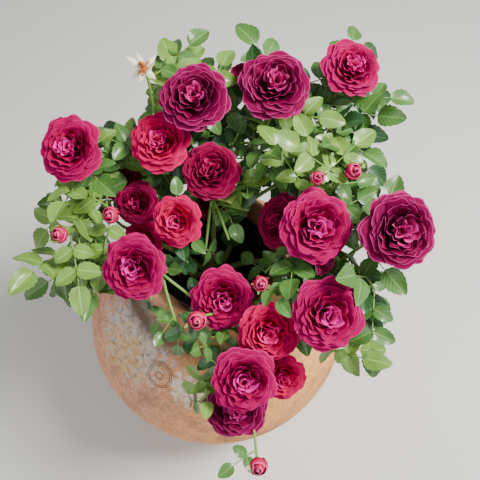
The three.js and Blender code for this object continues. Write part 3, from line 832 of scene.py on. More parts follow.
def makeEarth():
    # the plug's outline turned about the axis, with its top raised and sunk by crossed sine waves
    gap, drop, floor = earth["gap"], earth["edgeDrop"], jar["floor"]
    wallHeights = np.linspace(earth["level"] - drop, floor + 2 * jar["wall"], earth["wallSteps"])
    walls = np.stack([bodyRadius(wallHeights) - jar["wall"] - gap, wallHeights], axis=1)
    share = np.linspace(0, 1, earth["topSteps"])[:-1]
    top = np.stack([walls[0, 0] * share, earth["level"] - drop * np.clip((share - 0.5) / 0.5, 0, 1)], axis=1)
    foot = [[jar["footRadius"] - gap, floor + gap], [0, floor + gap]]
    grid = turnedGrid(np.concatenate([top, walls, foot])[::-1], earth["sides"])
    x, y, z = np.moveaxis(grid, -1, 0)
    waves = np.sin(x / 9.1 + 1) * np.sin(y / 7.7)
    waves += 0.6 * np.sin(x / 4.3 - y / 5.9)
    waves += 0.4 * np.sin(x / 2.9 + y / 2.3)
    high = np.clip((z - earth["lumpFrom"]) / earth["lumpRise"], 0, 1)
    inner = np.clip((earth["lumpReach"] - np.hypot(x, y)) / earth["lumpFade"], 0, 1)
    grid[..., 2] = z + earth["lump"] * waves * high * inner
    soil = mottled("earth", earth["look"])
    return gridPiece("earth_plug", grid[None], soil, around=True, weld=True)


def blobGrid(centres, sizes, random, rows, columns):
    # balls pushed in and out by sines of their own phase: r (1 + swell sin(3 a + p) + lobe sin(2 b + q))
    slope = np.linspace(0, np.pi, rows)[:, None]
    angle = np.linspace(0, 2 * np.pi, columns, endpoint=False)[None, :]
    p, q = random.uniform(*anyAngle, (2, len(centres), 1, 1))
    girth = np.sin(slope)
    swell = 1 + clod["swell"] * np.sin(3 * angle + p) * girth + clod["lobe"] * np.sin(2 * slope + q)
    ball = np.stack([-girth * np.cos(angle), girth * np.sin(angle), -np.cos(slope) + 0 * angle], axis=-1)
    grid = ball * swell[..., None] * sizes[:, None, None, None] * np.array(clod["squat"])
    return centres[:, None, None] + grid


def makeClods():
    # lumps spread evenly over a disc: its reach times the root of a random share
    random = np.random.default_rng(5)
    reach = earth["clodReach"] * np.sqrt(random.uniform(*earth["clodSpread"], earth["clods"]))
    angle = random.uniform(0, 2 * np.pi, earth["clods"])
    size = random.uniform(*earth["clodSize"], earth["clods"])
    centres = turnedAbout(reach, 0, earth["level"] - earth["clodSink"], angle)
    grid = blobGrid(centres, size, random, clod["rows"], clod["columns"])
    return gridPiece("clods", grid, bpy.data.materials["earth"], around=True)


knob = {
    "profile": ((0, 0), (33, 0), (31, 5), (27, 16), (31, 32), (28, 48), (16, 60), (0, 64)),
    "rounding": 3,
    "sides": 96,
    "lobes": 5,
    "lobeDepth": 0.06,
    "ridges": 0.65,  # mm
    "ridgesFrom": 12,  # mm from the axis
    "look": {
        "colour": (96, 80, 58), "other": (140, 126, 96),
        "size": 90.0, "share": 0.45, "roughness": 0.9, "bump": 0.9,
    },
}


def makeKnob():
    # the source's lobed profile with bark ridges: r (1 + depth cos(5 a)) + ridge (crossed sines - 1.2)
    foot = np.array([0, earth["level"] + earth["gap"]])
    grid = turnedGrid(cornerCut(np.array(knob["profile"], float) + foot, knob["rounding"]), knob["sides"])
    x, y, z = np.moveaxis(grid, -1, 0)
    bearing = np.arctan2(y, x)
    radius = np.hypot(x, y)
    ridges = np.sin(23 * bearing + z / 5)
    ridges += 0.7 * np.sin(11 * bearing - z / 3.1)
    ridges += 0.6 * np.sin(z / 1.9 + 3 * bearing)
    swell = 1 + knob["lobeDepth"] * np.cos(knob["lobes"] * bearing)
    fade = np.clip(radius / knob["ridgesFrom"], 0, 1)
    share = swell + fade * knob["ridges"] * (ridges - 1.2) / np.maximum(radius, knob["ridgesFrom"] / 2)
    grid = np.stack([x * share, y * share, z], axis=-1)
    return gridPiece("graft_knob", grid[None], mottled("bark", knob["look"]), around=True, weld=True)


# the limbs: canes from the knob, boughs from the canes, by the source's rule

cane = {
    "footRadius": 6.4,
    "tipRadius": 2.9,
    "steps": 8,
    "firstBearing": 40,
    "footReach": 17,
    "footRise": 34,
    "crownSink": 14,
    "lean": 30,
    "arch": 0.75,
    "crownArch": 0.1,
    "bend": 0.5,
    "ease": 0.3,
    "rings": 26,
    "sides": 10,
    "look": {
        "colour": (108, 122, 62), "other": (134, 112, 74),
        "size": 45.0, "share": 0.42, "roughness": 0.55, "bump": 0.35,
    },
}
bough = {
    "footRadius": 4.2,
    "tipRadius": 2.9,
    "arch": 0.7,
    "bend": 0.33,
    "rings": 16,
    "sides": 9,
    "look": {
        "colour": (112, 146, 66), "other": (128, 124, 70),
        "size": 50.0, "share": 0.36, "roughness": 0.5, "bump": 0.3,
    },
}
caneTips = {
    "cane_back": place(55, 112, 728),
    "cane_rear": place(98, 118, 648),
    "cane_back_left": place(133, 108, 722),
    "cane_left": place(178, 142, 688),
    "cane_front_left": place(231, 96, 684),
    "cane_front": place(290, 110, 646),
    "cane_front_right": place(314, 146, 672),
    "cane_right": place(342, 200, 690),
    "cane_centre": place(62, 14, 688),
}
# each bough's cane, the share of the cane at which it forks, and its tip
boughPlan = {
    "bough_back_right": ("cane_back", 0.6, place(36, 172, 712)),
    "bough_rear_right": ("cane_rear", 0.55, place(66, 150, 650)),
    "bough_low_left": ("cane_back_left", 0.55, place(148, 118, 652)),
    "bough_mid_left": ("cane_left", 0.4, place(205, 52, 664)),
    "bough_front_low": ("cane_front", 0.7, place(289, 170, 656)),
    "bough_right": ("cane_right", 0.5, place(336, 104, 670)),
}
scar = {"count": 9, "swell": 0.10, "width": 0.1, "thinned": 0.96}  # old leaf scars on a slightly thinner limb


def archedAt(point, arch):
    # one part up and an arch's part outward
    return unit(outwardAt(point) * arch + up)


def limbCurves():
    # canes leave a ring on the knob at even bearings, boughs leave their canes at a share of the length
    curves = {}
    ring = len(caneTips) - 1  # all but the last, which stands on the knob's crown
    for order, (name, tip) in enumerate(caneTips.items()):
        onCrown = order == ring
        bearing = cane["firstBearing"] + 360 * order / ring
        foot = place(bearing, cane["footReach"], earth["level"] + cane["footRise"])
        if onCrown:
            foot = place(0, 0, earth["level"] + knob["profile"][-1][1] - cane["crownSink"])
        away = facing(bearing, 0 if onCrown else cane["lean"])
        arrival = archedAt(tip, cane["crownArch"] if onCrown else cane["arch"])
        curves[name] = curveBetween(foot, away, tip, arrival, cane["bend"], cane["ease"])
    for name, (source, share, tip) in boughPlan.items():
        start = pointInRod(curves[source], cane["steps"], share)
        heading = unit(tangentAt(curves[source], share) + unit(tip - start))
        curves[name] = curveBetween(start, heading, tip, archedAt(tip, bough["arch"]), bough["bend"])
    return curves


def taper(limb, share):
    # a radius that falls evenly from foot to tip
    return limb["footRadius"] + (limb["tipRadius"] - limb["footRadius"]) * share


def makeLimbs(name, curves, limb, material):
    # tapering tubes, with a low swelling at each old leaf scar: 1 + swell exp(-(step / width)^2)
    share = np.linspace(0, 1, limb["rings"])
    step = (share * scar["count"]) % 1 - 0.5
    scars = 1 + scar["swell"] * np.exp(-((step / scar["width"]) ** 2))
    paths = np.stack([pointAt(curve, share) for curve in curves])
    radii = taper(limb, share) * scars * scar["thinned"]
    return tubePiece(name, paths, radii, limb["sides"], material)


# the sprays: the limb, the largest leaf size it may carry, and its tips, with the tint of each bloom

def tipAt(kind, bearing, reach, height, width=0, tint=None, turned=None):
    # what ends a twig; turned is a way to face of its own
    return {"kind": kind, "at": place(bearing, reach, height), "width": width, "tint": tint, "turned": turned}


def bloom(*given):
    return tipAt("bloom", *given)


def bud(*given):
    return tipAt("bud", *given)


def shoot(*given):
    return tipAt("shoot", *given)


sprays = {
    "left": ("cane_left", 1, [
        bloom(173, 180, 868, 87, "crimson"),
        bud(201, 210, 806, 22),
        bud(200, 137, 809, 23),
        shoot(194, 216, 728),
        shoot(172, 212, 756),
        shoot(206, 190, 684),
    ]),
    "mid_left": ("bough_mid_left", 3, [
        bloom(179, 106, 762, 66, "maroon"),
        bloom(231, 63, 797, 71, "red"),
        bloom(199, 108, 714, 62, "red"),
        shoot(225, 60, 690),
    ]),
    "low_left": ("bough_low_left", 1, [
        bloom(150, 180, 701, 74, "maroon"),
        shoot(141, 190, 752),
        shoot(162, 196, 668),
    ]),
    "back_left": ("cane_back_left", 1, [
        bloom(138, 87, 836, 86, "red"),
        bloom(98, 90, 893, 93, "purple"),
        bud(121, 170, 892, 30),
        shoot(108, 112, 806),
        shoot(150, 132, 770),
    ]),
    "back": ("cane_back", 1, [
        bloom(51, 158, 882, 98, "purple"),
        bloom(74, 197, 833, 44, "crimson"),
        shoot(66, 92, 800),
        shoot(52, 204, 838),
        shoot(33, 128, 796),
        shoot(72, 142, 806),
    ]),
    "back_right": ("bough_back_right", 1, [
        bloom(39, 278, 864, 86, "crimson"),
        shoot(33, 206, 812),
        shoot(20, 214, 782),
        shoot(44, 214, 760),
    ]),
    "centre": ("cane_centre", 2, [
        bloom(78, 33, 804, 84, "maroon"),
        bloom(85, 68, 668, 72, "maroon"),
        shoot(22, 84, 784),
        shoot(4, 62, 738),
        shoot(312, 48, 716),
        shoot(262, 40, 690),
    ]),
    "right": ("bough_right", 1, [
        bloom(335, 167, 820, 96, "magenta"),
        bloom(348, 108, 752, 82, "maroon", facing(200, 48)),
        bloom(332, 193, 752, 39, "pink", facing(320, 50)),
        bud(351, 152, 866, 18),
        bud(357, 199, 862, 22),
        shoot(10, 142, 772),
        shoot(318, 118, 690),
    ]),
    "far_right": ("cane_right", 0, [
        bloom(341, 269, 839, 99, "purple"),
        shoot(330, 271, 760),
        shoot(338, 222, 724),
        shoot(354, 226, 716),
    ]),
    "front_right": ("cane_front_right", 2, [
        bloom(313, 243, 773, 96, "magenta"),
        bud(300, 154, 774, 21),
        shoot(311, 270, 690),
        shoot(328, 148, 704),
    ]),
    "front": ("cane_front", 3, [
        bloom(295, 207, 728, 86, "red"),
        bloom(280, 136, 718, 88, "crimson"),
        bud(267, 178, 751, 26),
        shoot(271, 195, 690),
        shoot(262, 146, 676),
    ]),
    "front_low": ("bough_front_low", 3, [
        bloom(282, 261, 738, 86, "magenta"),
        bloom(279, 276, 644, 94, "purple"),
        bloom(297, 252, 624, 70, "red"),
        bud(282, 358, 628, 26),
        shoot(270, 235, 690),
        shoot(268, 267, 655),
    ]),
    "front_left": ("cane_front_left", 3, [
        bloom(230, 149, 784, 88, "magenta"),
        shoot(257, 179, 690),
        shoot(262, 125, 690),
        shoot(237, 153, 700),
        shoot(214, 138, 706),
    ]),
    "rear_left": ("cane_rear", 1, [
        bloom(112, 205, 712, 80, "crimson", facing(112, 44)),
        bloom(128, 226, 640, 72, "magenta", facing(130, 62)),
        shoot(100, 168, 650),
        shoot(122, 156, 730),
    ]),
    "rear_right": ("bough_rear_right", 1, [
        bloom(80, 226, 704, 82, "purple", facing(84, 48)),
        bloom(48, 238, 694, 78, "red", facing(48, 50)),
        shoot(64, 200, 650),
        shoot(28, 186, 668),
    ]),
}
spentTip = ("back_left", 2)  # the spray and the tip that is a spent bloom

twig = {
    "footRadius": 2.8,
    "tipRadius": 2.3,
    "steps": 3,
    "firstFork": 0.1,
    "forkSpan": 0.5,
    "along": 0.4,
    "bend": 0.33,
    "rings": 9,
    "sides": 7,
    "thinned": 0.85,
    "look": {
        "colour": (118, 158, 66), "other": (140, 122, 76),
        "size": 70.0, "share": 0.34, "roughness": 0.5, "bump": 0.3,
    },
}
bloomTurn = {"up": 0.8, "front": 0.42, "outward": 0.14}
stalkEnd = 0.17
seatGap = 0.3


def turnOf(tip):
    # the way a tip faces: its own, or up, to the front and a little outward
    if tip["turned"] is not None:
        return tip["turned"]
    upAndFront = np.array([0, -bloomTurn["front"], bloomTurn["up"]])
    return unit(outwardAt(tip["at"]) * bloomTurn["outward"] + upAndFront)


def twigsOf(tips, limbCurve):
    # a leader from the limb's tip to the first entry, and forks from the leader to the others
    heading = tangentAt(limbCurve, 1.0)
    fork = pointAt(limbCurve, 1.0) + heading * seatGap
    twigs = []
    for order, tip in enumerate(tips):
        turn = turnOf(tip)
        end = tip["at"] - turn * stalkEnd * tip["width"]
        share = twig["firstFork"] + twig["forkSpan"] * order / len(tips)
        start, leaving = fork, heading
        if order:
            leader = twigs[0]["curve"]
            start = pointInRod(leader, twig["steps"], share)
            leaving = unit(tangentAt(leader, share) * twig["along"] + unit(end - start))
        arrival = unit(end - start) if tip["kind"] == "shoot" else turn
        curve = curveBetween(start, leaving, end, arrival, twig["bend"])
        twigs.append({"tip": tip, "turn": turn, "curve": curve})
    return twigs


# where the leaves stand

def leafSize(pairs, rachis, length):
    return {"pairs": pairs, "rachis": rachis, "leaflet": length}


# pairs of leaflets, the length of the rachis and that of the end leaflet, from the largest leaf down
leafSizes = (
    leafSize(1, 60, 62), leafSize(2, 82, 46), leafSize(1, 48, 44),
    leafSize(1, 32, 32), leafSize(1, 24, 28),
)
fineSizes = (
    leafSize(1, 48, 50), leafSize(2, 70, 40), leafSize(1, 42, 38),
    leafSize(1, 28, 28), leafSize(1, 22, 24),
)
leaflet = {
    "widthShare": 0.68,
    "widestAt": 0.46,
    "endGap": 22,
    "pairGap": 31,
    "splay": 65,
    "shrink": 0.12,
    "pairRoot": 12.4,
    "endRoot": 15.4,
    "stalkWidth": 3.2,
}
leafRule = {
    "seed": 107,
    "seedStep": 13,  # from one spray to the next
    "firstNode": 20,
    "internode": 38,
    "most": 3,
    "neck": 36,
    "tipGap": 2,
    "turn": 137.5,
    "tries": 20,
    "angle": 62,
    "spacing": 54,
    "rise": 0.6,
    "sag": 0.05,
    "sunward": 0.35,
    "tilt": 0.5,
    "centreShare": 0.8,
    "border": 1,
    "sprig": 0,  # length of the fine twig under each leaf
}
# the same rule carried on between the first leaves: closer nodes, smaller leaves, each on a fine twig
fineRule = {
    **leafRule,
    "seed": 311, "firstNode": 12, "internode": 22, "most": 5,
    "neck": 24, "spacing": 31, "border": None, "sprig": 11,
}
room = {"limb": 5, "lowest": 565, "lipInside": 22, "lipOutside": 6, "lipAbove": 4}
openView = {"behind": 0.34, "before": 0.5, "beside": 0.46}
ballRule = {"bloomShare": 0.42, "perTwig": 10, "perLimb": 24, "limbMargin": 1}
viewer = np.array([49, -410, 1420])


def cone(bearing, reach, height, radius):
    # a cone from the viewer round a place
    return {"at": place(bearing, reach, height), "radius": radius}


# what stays clear of leaves as seen from the front and above
windows = (
    cone(248, 260, 650, 60),  # the jar's shoulder with its seal
    cone(227, 206, 650, 39),  # the shoulder behind it
    cone(256, 316, 650, 46),  # the wall below it
    cone(239, 114, 650, 24),  # the dark mouth
    cone(303, 312, 650, 46),  # the jar's right side
    cone(290, 351, 650, 39),  # right of the low bud
    cone(217, 299, 700, 47),  # left of the jar
    cone(186, 300, 740, 34),  # left of the crown
    cone(167, 312, 800, 75),  # left of the left bloom
    cone(134, 221, 850, 58),  # above it
    cone(12, 338, 800, 55),  # the crown's right side, from the top down
    cone(347, 359, 800, 65),
    cone(331, 371, 750, 56),
)
# the finer leaves also leave these open
fineWindows = (
    cone(348, 108, 752, 40),  # the small bloom beside the long front one
    cone(331, 41, 650, 32),  # the dark mouth beside it
    cone(315, 92, 650, 26),
    cone(78, 29, 650, 26),
    cone(201, 210, 806, 17),  # the buds on the left
    cone(200, 137, 809, 17),
    cone(300, 154, 774, 15),  # the bud over the front canes
)
# blooms that no leaf hides from the viewer
clearings = (
    cone(179, 106, 766, 27),  # the dark bloom left of the middle
    cone(199, 108, 716, 20),  # the red one under it
)


def randomFrom(seed):
    # the source's generator: state = 1664525 state + 1013904223, modulo 2^32
    state = seed
    while True:
        state = (state * 1664525 + 1013904223) % 2**32
        yield state / 2**32


def jointsOf(size):
    # each pair's distance along the rachis and its leaflets' length, from the outermost pair inward
    for pair in range(size["pairs"]):
        joint = size["rachis"] - leaflet["endGap"] - pair * leaflet["pairGap"]
        yield joint, size["leaflet"] * (1 - leaflet["shrink"] * (pair + 1))


def leafletCorners(rootX, rootY, degrees, length):
    # the widest point on one side, the tip, and the widest point on the other side
    angle = math.radians(degrees)
    half = leaflet["widthShare"] * length / 2
    along = np.array([math.cos(angle), math.sin(angle)])
    across = np.array([-math.sin(angle), math.cos(angle)])
    root = np.array([rootX, rootY])
    middle = root + along * leaflet["widestAt"] * length
    return [middle + across * half, root + along * length, middle - across * half]


def leafOutline(size):
    # up one side of the stalk and its leaflets to the tip, and back down the other side
    half = leaflet["stalkWidth"] / 2
    joints = list(enumerate(jointsOf(size)))[::-1]
    firstJoint = joints[0][1][0]
    side = [np.array([0, half]), np.array([firstJoint - half, half])]
    for pair, (joint, length) in joints:
        side += leafletCorners(joint, half, leaflet["splay"], length)
        side.append(np.array([joint + (leaflet["pairRoot"] if pair > 0 else leaflet["endRoot"]), half]))
    shoulder, tip, _ = leafletCorners(size["rachis"], 0, 0, size["leaflet"])
    side.append(shoulder)
    mirrored = [point * np.array([1, -1]) for point in side][::-1]
    return np.array([*side, tip, *mirrored])


def leafPlan(foot, heading, size, sunward, rule):
    # the leaf's frame, and the points of its outline that need room
    along = unit(np.array([heading[0], heading[1], heading[2] * rule["rise"] - rule["sag"]]))
    across = unit(np.cross(sunward, along))
    outline = leafOutline(size)
    probes = (foot + outline[:, :1] * along + outline[:, 1:] * across)[2:-2]
    halfway = (probes[1:] + probes[:-1]) / 2
    return {
        "foot": foot, "along": along, "across": across, "normal": np.cross(along, across), "size": size,
        "probes": np.concatenate([probes, halfway]),
        "centre": foot + along * size["rachis"] * rule["centreShare"],
    }


def nearest(points, balls):
    # each point's distance to the surface of the ball nearest to it
    gaps = np.linalg.norm(points[:, None] - balls[None, :, :3], axis=-1) - balls[None, :, 3]
    return gaps.min(axis=1)


def spaceOf(twigs):
    # a spray's own space: a ball in each bloom and bud, and points along each twig
    balls = []
    for item in twigs:
        if item["tip"]["kind"] != "shoot":
            balls.append([*item["tip"]["at"], item["tip"]["width"] * ballRule["bloomShare"]])
        spaced = pointAt(item["curve"], np.linspace(0, 1, ballRule["perTwig"] + 1))
        balls += [[*point, 0] for point in spaced]
    return np.array(balls)


def hidesBloom(points, blooms):
    # inside a bloom, or in the open space that its face looks into
    away = points[:, None] - blooms["at"]
    depth = (away * blooms["turn"]).sum(axis=-1)
    radial = np.sqrt(np.maximum(0, (away**2).sum(axis=-1) - depth**2))
    width = blooms["width"]
    level = (depth > -openView["behind"] * width) & (depth < openView["before"] * width)
    return bool((level & (radial < openView["beside"] * width)).any())


def insideCone(points, window):
    # which points lie in a cone from the viewer, and which of all are nearer than its place
    away = points - viewer
    axis = window["at"] - viewer
    distance = np.linalg.norm(axis)
    along = away @ (axis / distance)
    radial = np.sqrt(np.maximum(0, (away**2).sum(axis=-1) - along**2))
    return radial < window["radius"] * along / distance, along < distance


def inWindow(points, cones):
    return any(insideCone(points, window)[0].any() for window in cones)


def meetsJar(points):
    # below the lowest height, or beside the neck or the lip with less than their room
    reach = np.hypot(points[:, 0], points[:, 1])
    height = points[:, 2]
    aboveLip = height > jar["height"] + room["lipAbove"]
    byNeck = (height < jar["neckHeight"]) & (reach < jar["creaseRadius"] + room["lipOutside"])
    pastInside = reach > jar["mouthRadius"] - room["lipInside"]
    byLip = (height >= jar["neckHeight"]) & pastInside & (reach < jar["lipRadius"] + room["lipOutside"])
    return bool(((height < room["lowest"]) | (~aboveLip & (byNeck | byLip))).any())


def hasRoom(plan, crowd, rule):
    # a first leaf is nearer to its own spray than to any other; a finer one only stays inside the frame's box
    probes = plan["probes"]
    if meetsJar(probes) or inWindow(probes, windows) or hidesBloom(probes, crowd["blooms"]):
        return False
    if (nearest(probes, crowd["limbs"]) < room["limb"]).any():
        return False
    if rule["border"] is None:
        low, high = (np.array(corner) / metresPerMm for corner in cadBox)
        return not inWindow(probes, fineWindows) and bool(((probes > low) & (probes < high)).all())
    own, spaces = crowd["own"], crowd["spaces"]
    others = np.concatenate([balls for other, balls in enumerate(spaces) if other != own])
    return bool((nearest(probes, others) > nearest(probes, spaces[own]) + rule["border"]).all())


def firstFit(node, sizes, rule, plans, crowd):
    # the largest leaf that fits at a node, at the first of the turns about the twig that have room
    foot, tangent, normal, turn = node
    side = unit(np.array([tangent[1], -tangent[0], 0.0]))
    angle = math.radians(rule["angle"])
    centres = np.array([plan["centre"] for plan in plans]) if plans else np.full((1, 3), np.inf)
    for size in sizes:
        for attempt in range(rule["tries"]):
            about = math.radians(turn + attempt * 360 / rule["tries"])
            out = side * math.cos(about) + np.cross(tangent, side) * math.sin(about)
            heading = tangent * math.cos(angle) + out * math.sin(angle)
            plan = leafPlan(foot + heading * rule["sprig"], heading, size, normal, rule)
            plan["sprig"] = (foot, tangent, heading) if rule["sprig"] else None
            if np.linalg.norm(centres - plan["centre"], axis=1).min() < rule["spacing"]:
                continue
            if hasRoom(plan, crowd, rule):
                return plan
    return None


def leavesOf(twigs, crowd, rule, sizes, standing):
    # nodes along each twig, each turned by the golden angle from the last; standing holds earlier leaves
    random = randomFrom(rule["seed"] + rule["seedStep"] * crowd["own"])
    plans = []
    for item in twigs:
        curve, kind = item["curve"], item["tip"]["kind"]
        length = chordsOf(curve)[1].sum()
        last = length - (rule["tipGap"] if kind == "shoot" else rule["neck"])
        fitting = math.floor((last - rule["firstNode"]) / rule["internode"]) + 1
        young = kind == "bud" and rule["border"] is not None
        count = min(max(fitting, 1), 1 if young else rule["most"])
        turn = 360 * next(random)
        for order in range(count):
            share = max(twig["firstFork"], (last - order * rule["internode"]) / length)
            foot = pointInRod(curve, twig["steps"], share)
            tilt = np.array([next(random) - 0.5, next(random) - 0.5, 0.0]) * rule["tilt"]
            normal = unit(np.array([0, -rule["sunward"], 1.0]) + tilt)
            node = (foot, tangentAt(curve, share), normal, turn)
            plan = firstFit(node, sizes[-1:] if young else sizes, rule, plans + standing, crowd)
            if plan:
                plans.append(plan)
            turn += rule["turn"]
    return plans


# leaves: each plan becomes a rachis and its leaflets

# the leaves' greens, from pale to dark: partly their own younger and older green, partly painted light and
# painted shade
leafTints = {
    "bright": {"colour": (70, 112, 44), "vein": (140, 176, 98)},
    "fresh": {"colour": (104, 142, 52), "vein": (180, 202, 116)},
    "deep": {"colour": (42, 82, 38), "vein": (100, 140, 82)},
    "shade": {"colour": (28, 60, 30), "vein": (74, 110, 64)},
}
sunRule = {
    "height": (640, 200),  # mm, where the sun stands at nought and what adds one to it
    "reach": (120, 260),
    "varies": 0.6,
    # each tint is for leaves with less sun than this
    "tints": (("shade", -0.15), ("deep", 0.3), ("bright", 1.0), ("fresh", math.inf)),
}
# how much lighter each spray's leaves are dealt, partly as painted sunlight: what isn't named here stands at
# nought
sunned = {
    "left": 0.3, "low_left": 0.3, "back_left": -0.3, "back": -0.5, "back_right": -1.0,
    "centre": 0.7, "right": -0.2, "far_right": -0.6,
}
bladeShape = {
    "rows": 13,
    "columns": (1.0, 0.5, 0.0, -0.5, -1.0),
    "swell": 0.55,  # how fast the blade widens from its foot; the smaller, the faster
    "narrow": 0.86,
    "least": 0.03,
    "teeth": 0.045,  # how far the edge's teeth stand out, as a share of the half width
    "fold": 0.3,  # how far each half rises from the midrib
    "droop": 0.2,  # how far the tip hangs, as a share of the length
    "quilt": 0.028,
    "ripples": 9,
    "varies": ((0.4, 1.5), (0.3, 1.6), (-0.35, 0.35), anyAngle),  # fold, droop, twist and the ripple's start
    "strays": 7,  # degrees
    "lifts": (-0.12, 0.2),
    "rolls": (-0.25, 0.25),
    "lengths": (0.94, 1.04),
}
rachis = {"rings": 7, "sides": 5, "sag": 0.05, "radii": (1.35, 0.7)}
sprig = {"rings": 6, "sides": 6, "bend": 0.33, "radii": (1.7, 1.3)}


def leafletGrid(roots, frames, lengths, random):
    # x runs along the midrib, y = half width(s) c, z = fold |y| - droop s^2 + a ripple along the edge
    rows = bladeShape["rows"]
    s = np.linspace(0, 1, rows)[:, None]
    c = np.array(bladeShape["columns"])[None, :]
    outline = s ** bladeShape["swell"] * np.clip(1 - s, 0, 1) ** bladeShape["narrow"]
    outline = outline / outline.max() + bladeShape["least"]
    outOrIn = np.where(np.arange(rows) % 2 == 0, -1, 1)[:, None]
    half = leaflet["widthShare"] / 2 * outline * (1 + bladeShape["teeth"] * outOrIn * (np.abs(c) == 1))
    low, high = np.array(bladeShape["varies"]).T[..., None]
    fold, droop, twist, start = random.uniform(low, high, (4, len(roots)))[..., None, None]
    x = s + 0.03 * np.abs(c) * (s < 0.98)
    y = half * c
    z = bladeShape["fold"] * fold * np.abs(y) - bladeShape["droop"] * droop * s**2
    z = z + twist * y * s + bladeShape["quilt"] * np.sin(bladeShape["ripples"] * s + start) * np.abs(c)
    along, across, normal = (axis[:, None, None] for axis in np.moveaxis(frames, 1, 0))
    blade = x[..., None] * along + y[..., None] * across + z[..., None] * normal
    return roots[:, None, None] + lengths[:, None, None, None] * blade


def rachisPath(plan):
    # a shallow dip along the leaf's own line: 2 sag share (1 - share)
    share = np.linspace(0, 1, rachis["rings"])[:, None]
    length = plan["size"]["rachis"]
    dip = 2 * rachis["sag"] * length * share * (1 - share)
    return plan["foot"] + plan["along"] * length * share - plan["normal"] * dip


def layLeaflets(plans, random):
    # roots, frames and lengths of all leaflets of these leaves
    roots, frames, lengths = [], [], []
    for plan in plans:
        size = plan["size"]
        joints = [(size["rachis"], 0.0, size["leaflet"])]
        for joint, length in jointsOf(size):
            joints += [(joint, leaflet["splay"], length), (joint, -leaflet["splay"], length)]
        for joint, splay, length in joints:
            angle = math.radians(splay + random.uniform(-bladeShape["strays"], bladeShape["strays"]))
            along = plan["along"] * math.cos(angle) + plan["across"] * math.sin(angle)
            along = unit(along + plan["normal"] * random.uniform(*bladeShape["lifts"]))
            rolled = plan["normal"] * random.uniform(*bladeShape["rolls"])
            across = unit(np.cross(plan["normal"], along) + rolled)
            roots.append(plan["foot"] + plan["along"] * joint)
            frames.append((along, across, np.cross(along, across)))
            lengths.append(length * random.uniform(*bladeShape["lengths"]))
    return np.array(roots), np.array(frames), np.array(lengths)


def makeLeaves(planned):
    # each tint's leaves are one joined piece, and all rachises another
    random = np.random.default_rng(21)
    uv = uvOf((np.array(bladeShape["columns"]) + 1) / 2, np.linspace(0, 1, bladeShape["rows"]))
    for tint, plans in planned.items():
        grid = leafletGrid(*layLeaflets(plans, random), random)
        gridPiece("leaves_" + tint, grid, bladed("leaf_" + tint, leafTints[tint]), uv=uv)
    paths = np.array([rachisPath(plan) for plans in planned.values() for plan in plans])
    radii = np.linspace(*rachis["radii"], rachis["rings"])
    tubePiece("leaf_stalks", paths, radii, rachis["sides"], bpy.data.materials["young_twig"])


def makeSprigs(planned):
    # a fine twig to the foot of each finer leaf, which leaves along the main twig and bends outward
    share = np.linspace(0, 1, sprig["rings"])
    finer = [plan for plans in planned.values() for plan in plans if plan["sprig"]]
    paths = []
    for plan in finer:
        start, tangent, heading = plan["sprig"]
        curve = curveBetween(start, unit(tangent + heading), plan["foot"], heading, sprig["bend"])
        paths.append(bezier(curve, share))
    radii = np.linspace(*sprig["radii"], sprig["rings"])
    tubePiece("sprigs", np.stack(paths), radii, sprig["sides"], bpy.data.materials["young_twig"])


# blooms: petals laid one after another at the golden angle, from the broad outer ones to the folded heart

petalParts = ("outer", "inner", "heart")
# the colours of a bloom's outer, inner and heart petals, of their edges, and of the painted shade deep in
# their folds, which their streaks take too
petalTints = {
    "red": ((192, 0, 76), (200, 0, 72), (240, 12, 136), (216, 12, 100), (150, 0, 46)),
    "crimson": ((164, 0, 76), (164, 0, 68), (240, 24, 158), (194, 16, 104), (102, 0, 40)),
    "magenta": ((164, 0, 78), (156, 0, 66), (240, 30, 166), (192, 18, 106), (92, 0, 42)),
    "purple": ((122, 2, 62), (106, 0, 48), (208, 32, 128), (174, 44, 110), (60, 0, 30)),
    # painted shade: a darker copy of the reds, for the blooms that stand in shade
    "maroon": ((132, 0, 54), (112, 0, 42), (188, 14, 88), (166, 30, 86), (58, 0, 26)),
    "pink": ((218, 34, 120), (204, 14, 98), (228, 60, 150), (244, 132, 184), (166, 6, 78)),
}
petalRule = {
    "count": 56,
    "small": (60, 0.7),  # up to this width a bloom has only this share of the petals
    "turn": 137.5,
    "stray": 16,  # degrees
    # where petals start: reach and level, as shares of the bloom's width like the lengths below
    "foot": (0.03, -0.2),
    "order": (0.0, 0.15, 0.32, 0.50, 0.68, 0.85, 1.0),  # from the outermost petal to the heart
    "reach": (0.54, 0.51, 0.44, 0.35, 0.25, 0.15, 0.05),
    "level": (-0.06, -0.02, 0.06, 0.115, 0.15, 0.17, 0.165),
    "width": (0.56, 0.54, 0.49, 0.43, 0.37, 0.31, 0.26),
    "cup": (0.0, 0.12, 0.34, 0.52, 0.58, 0.44, 0.3),  # 0 lies open and 1 stands upright
    "ruffle": (0.014, 0.016, 0.02, 0.025, 0.029, 0.03, 0.029),
    "swing": (6, 8, 14, 26, 40, 52, 60),  # degrees a petal may face aside
    "reachVaries": (0.93, 1.04),
    "levelVaries": (-0.018, 0.018),
    "widthVaries": (0.85, 1.12),
    "rounded": 0.17,  # how far the rim's corners stay back
    "notch": (-0.03, 0.07),
    "notchWidth": 0.22,
    "rollFrom": 0.78,
    "roll": (0.016, 0.03, 0.015),  # outward, down, and how much less down when cupped
    "folds": (0.7, 2.0),  # how many waves run across a rim
    "held": 0.8,  # how much of a petal keeps to its place when its rim swings aside
    "innerFrom": 0.45,
    "heartFrom": 0.82,
    "strayOuter": 0.25,  # the share of inner petals that take the outer colour
}
petalGrid = {
    "u": np.array([0.0, 0.34, 0.6, 0.78, 0.9, 0.965, 1.0]),
    "v": np.array([1.0, 0.75, 0.5, 0.25, 0.0, -0.25, -0.5, -0.75, -1.0]),
}
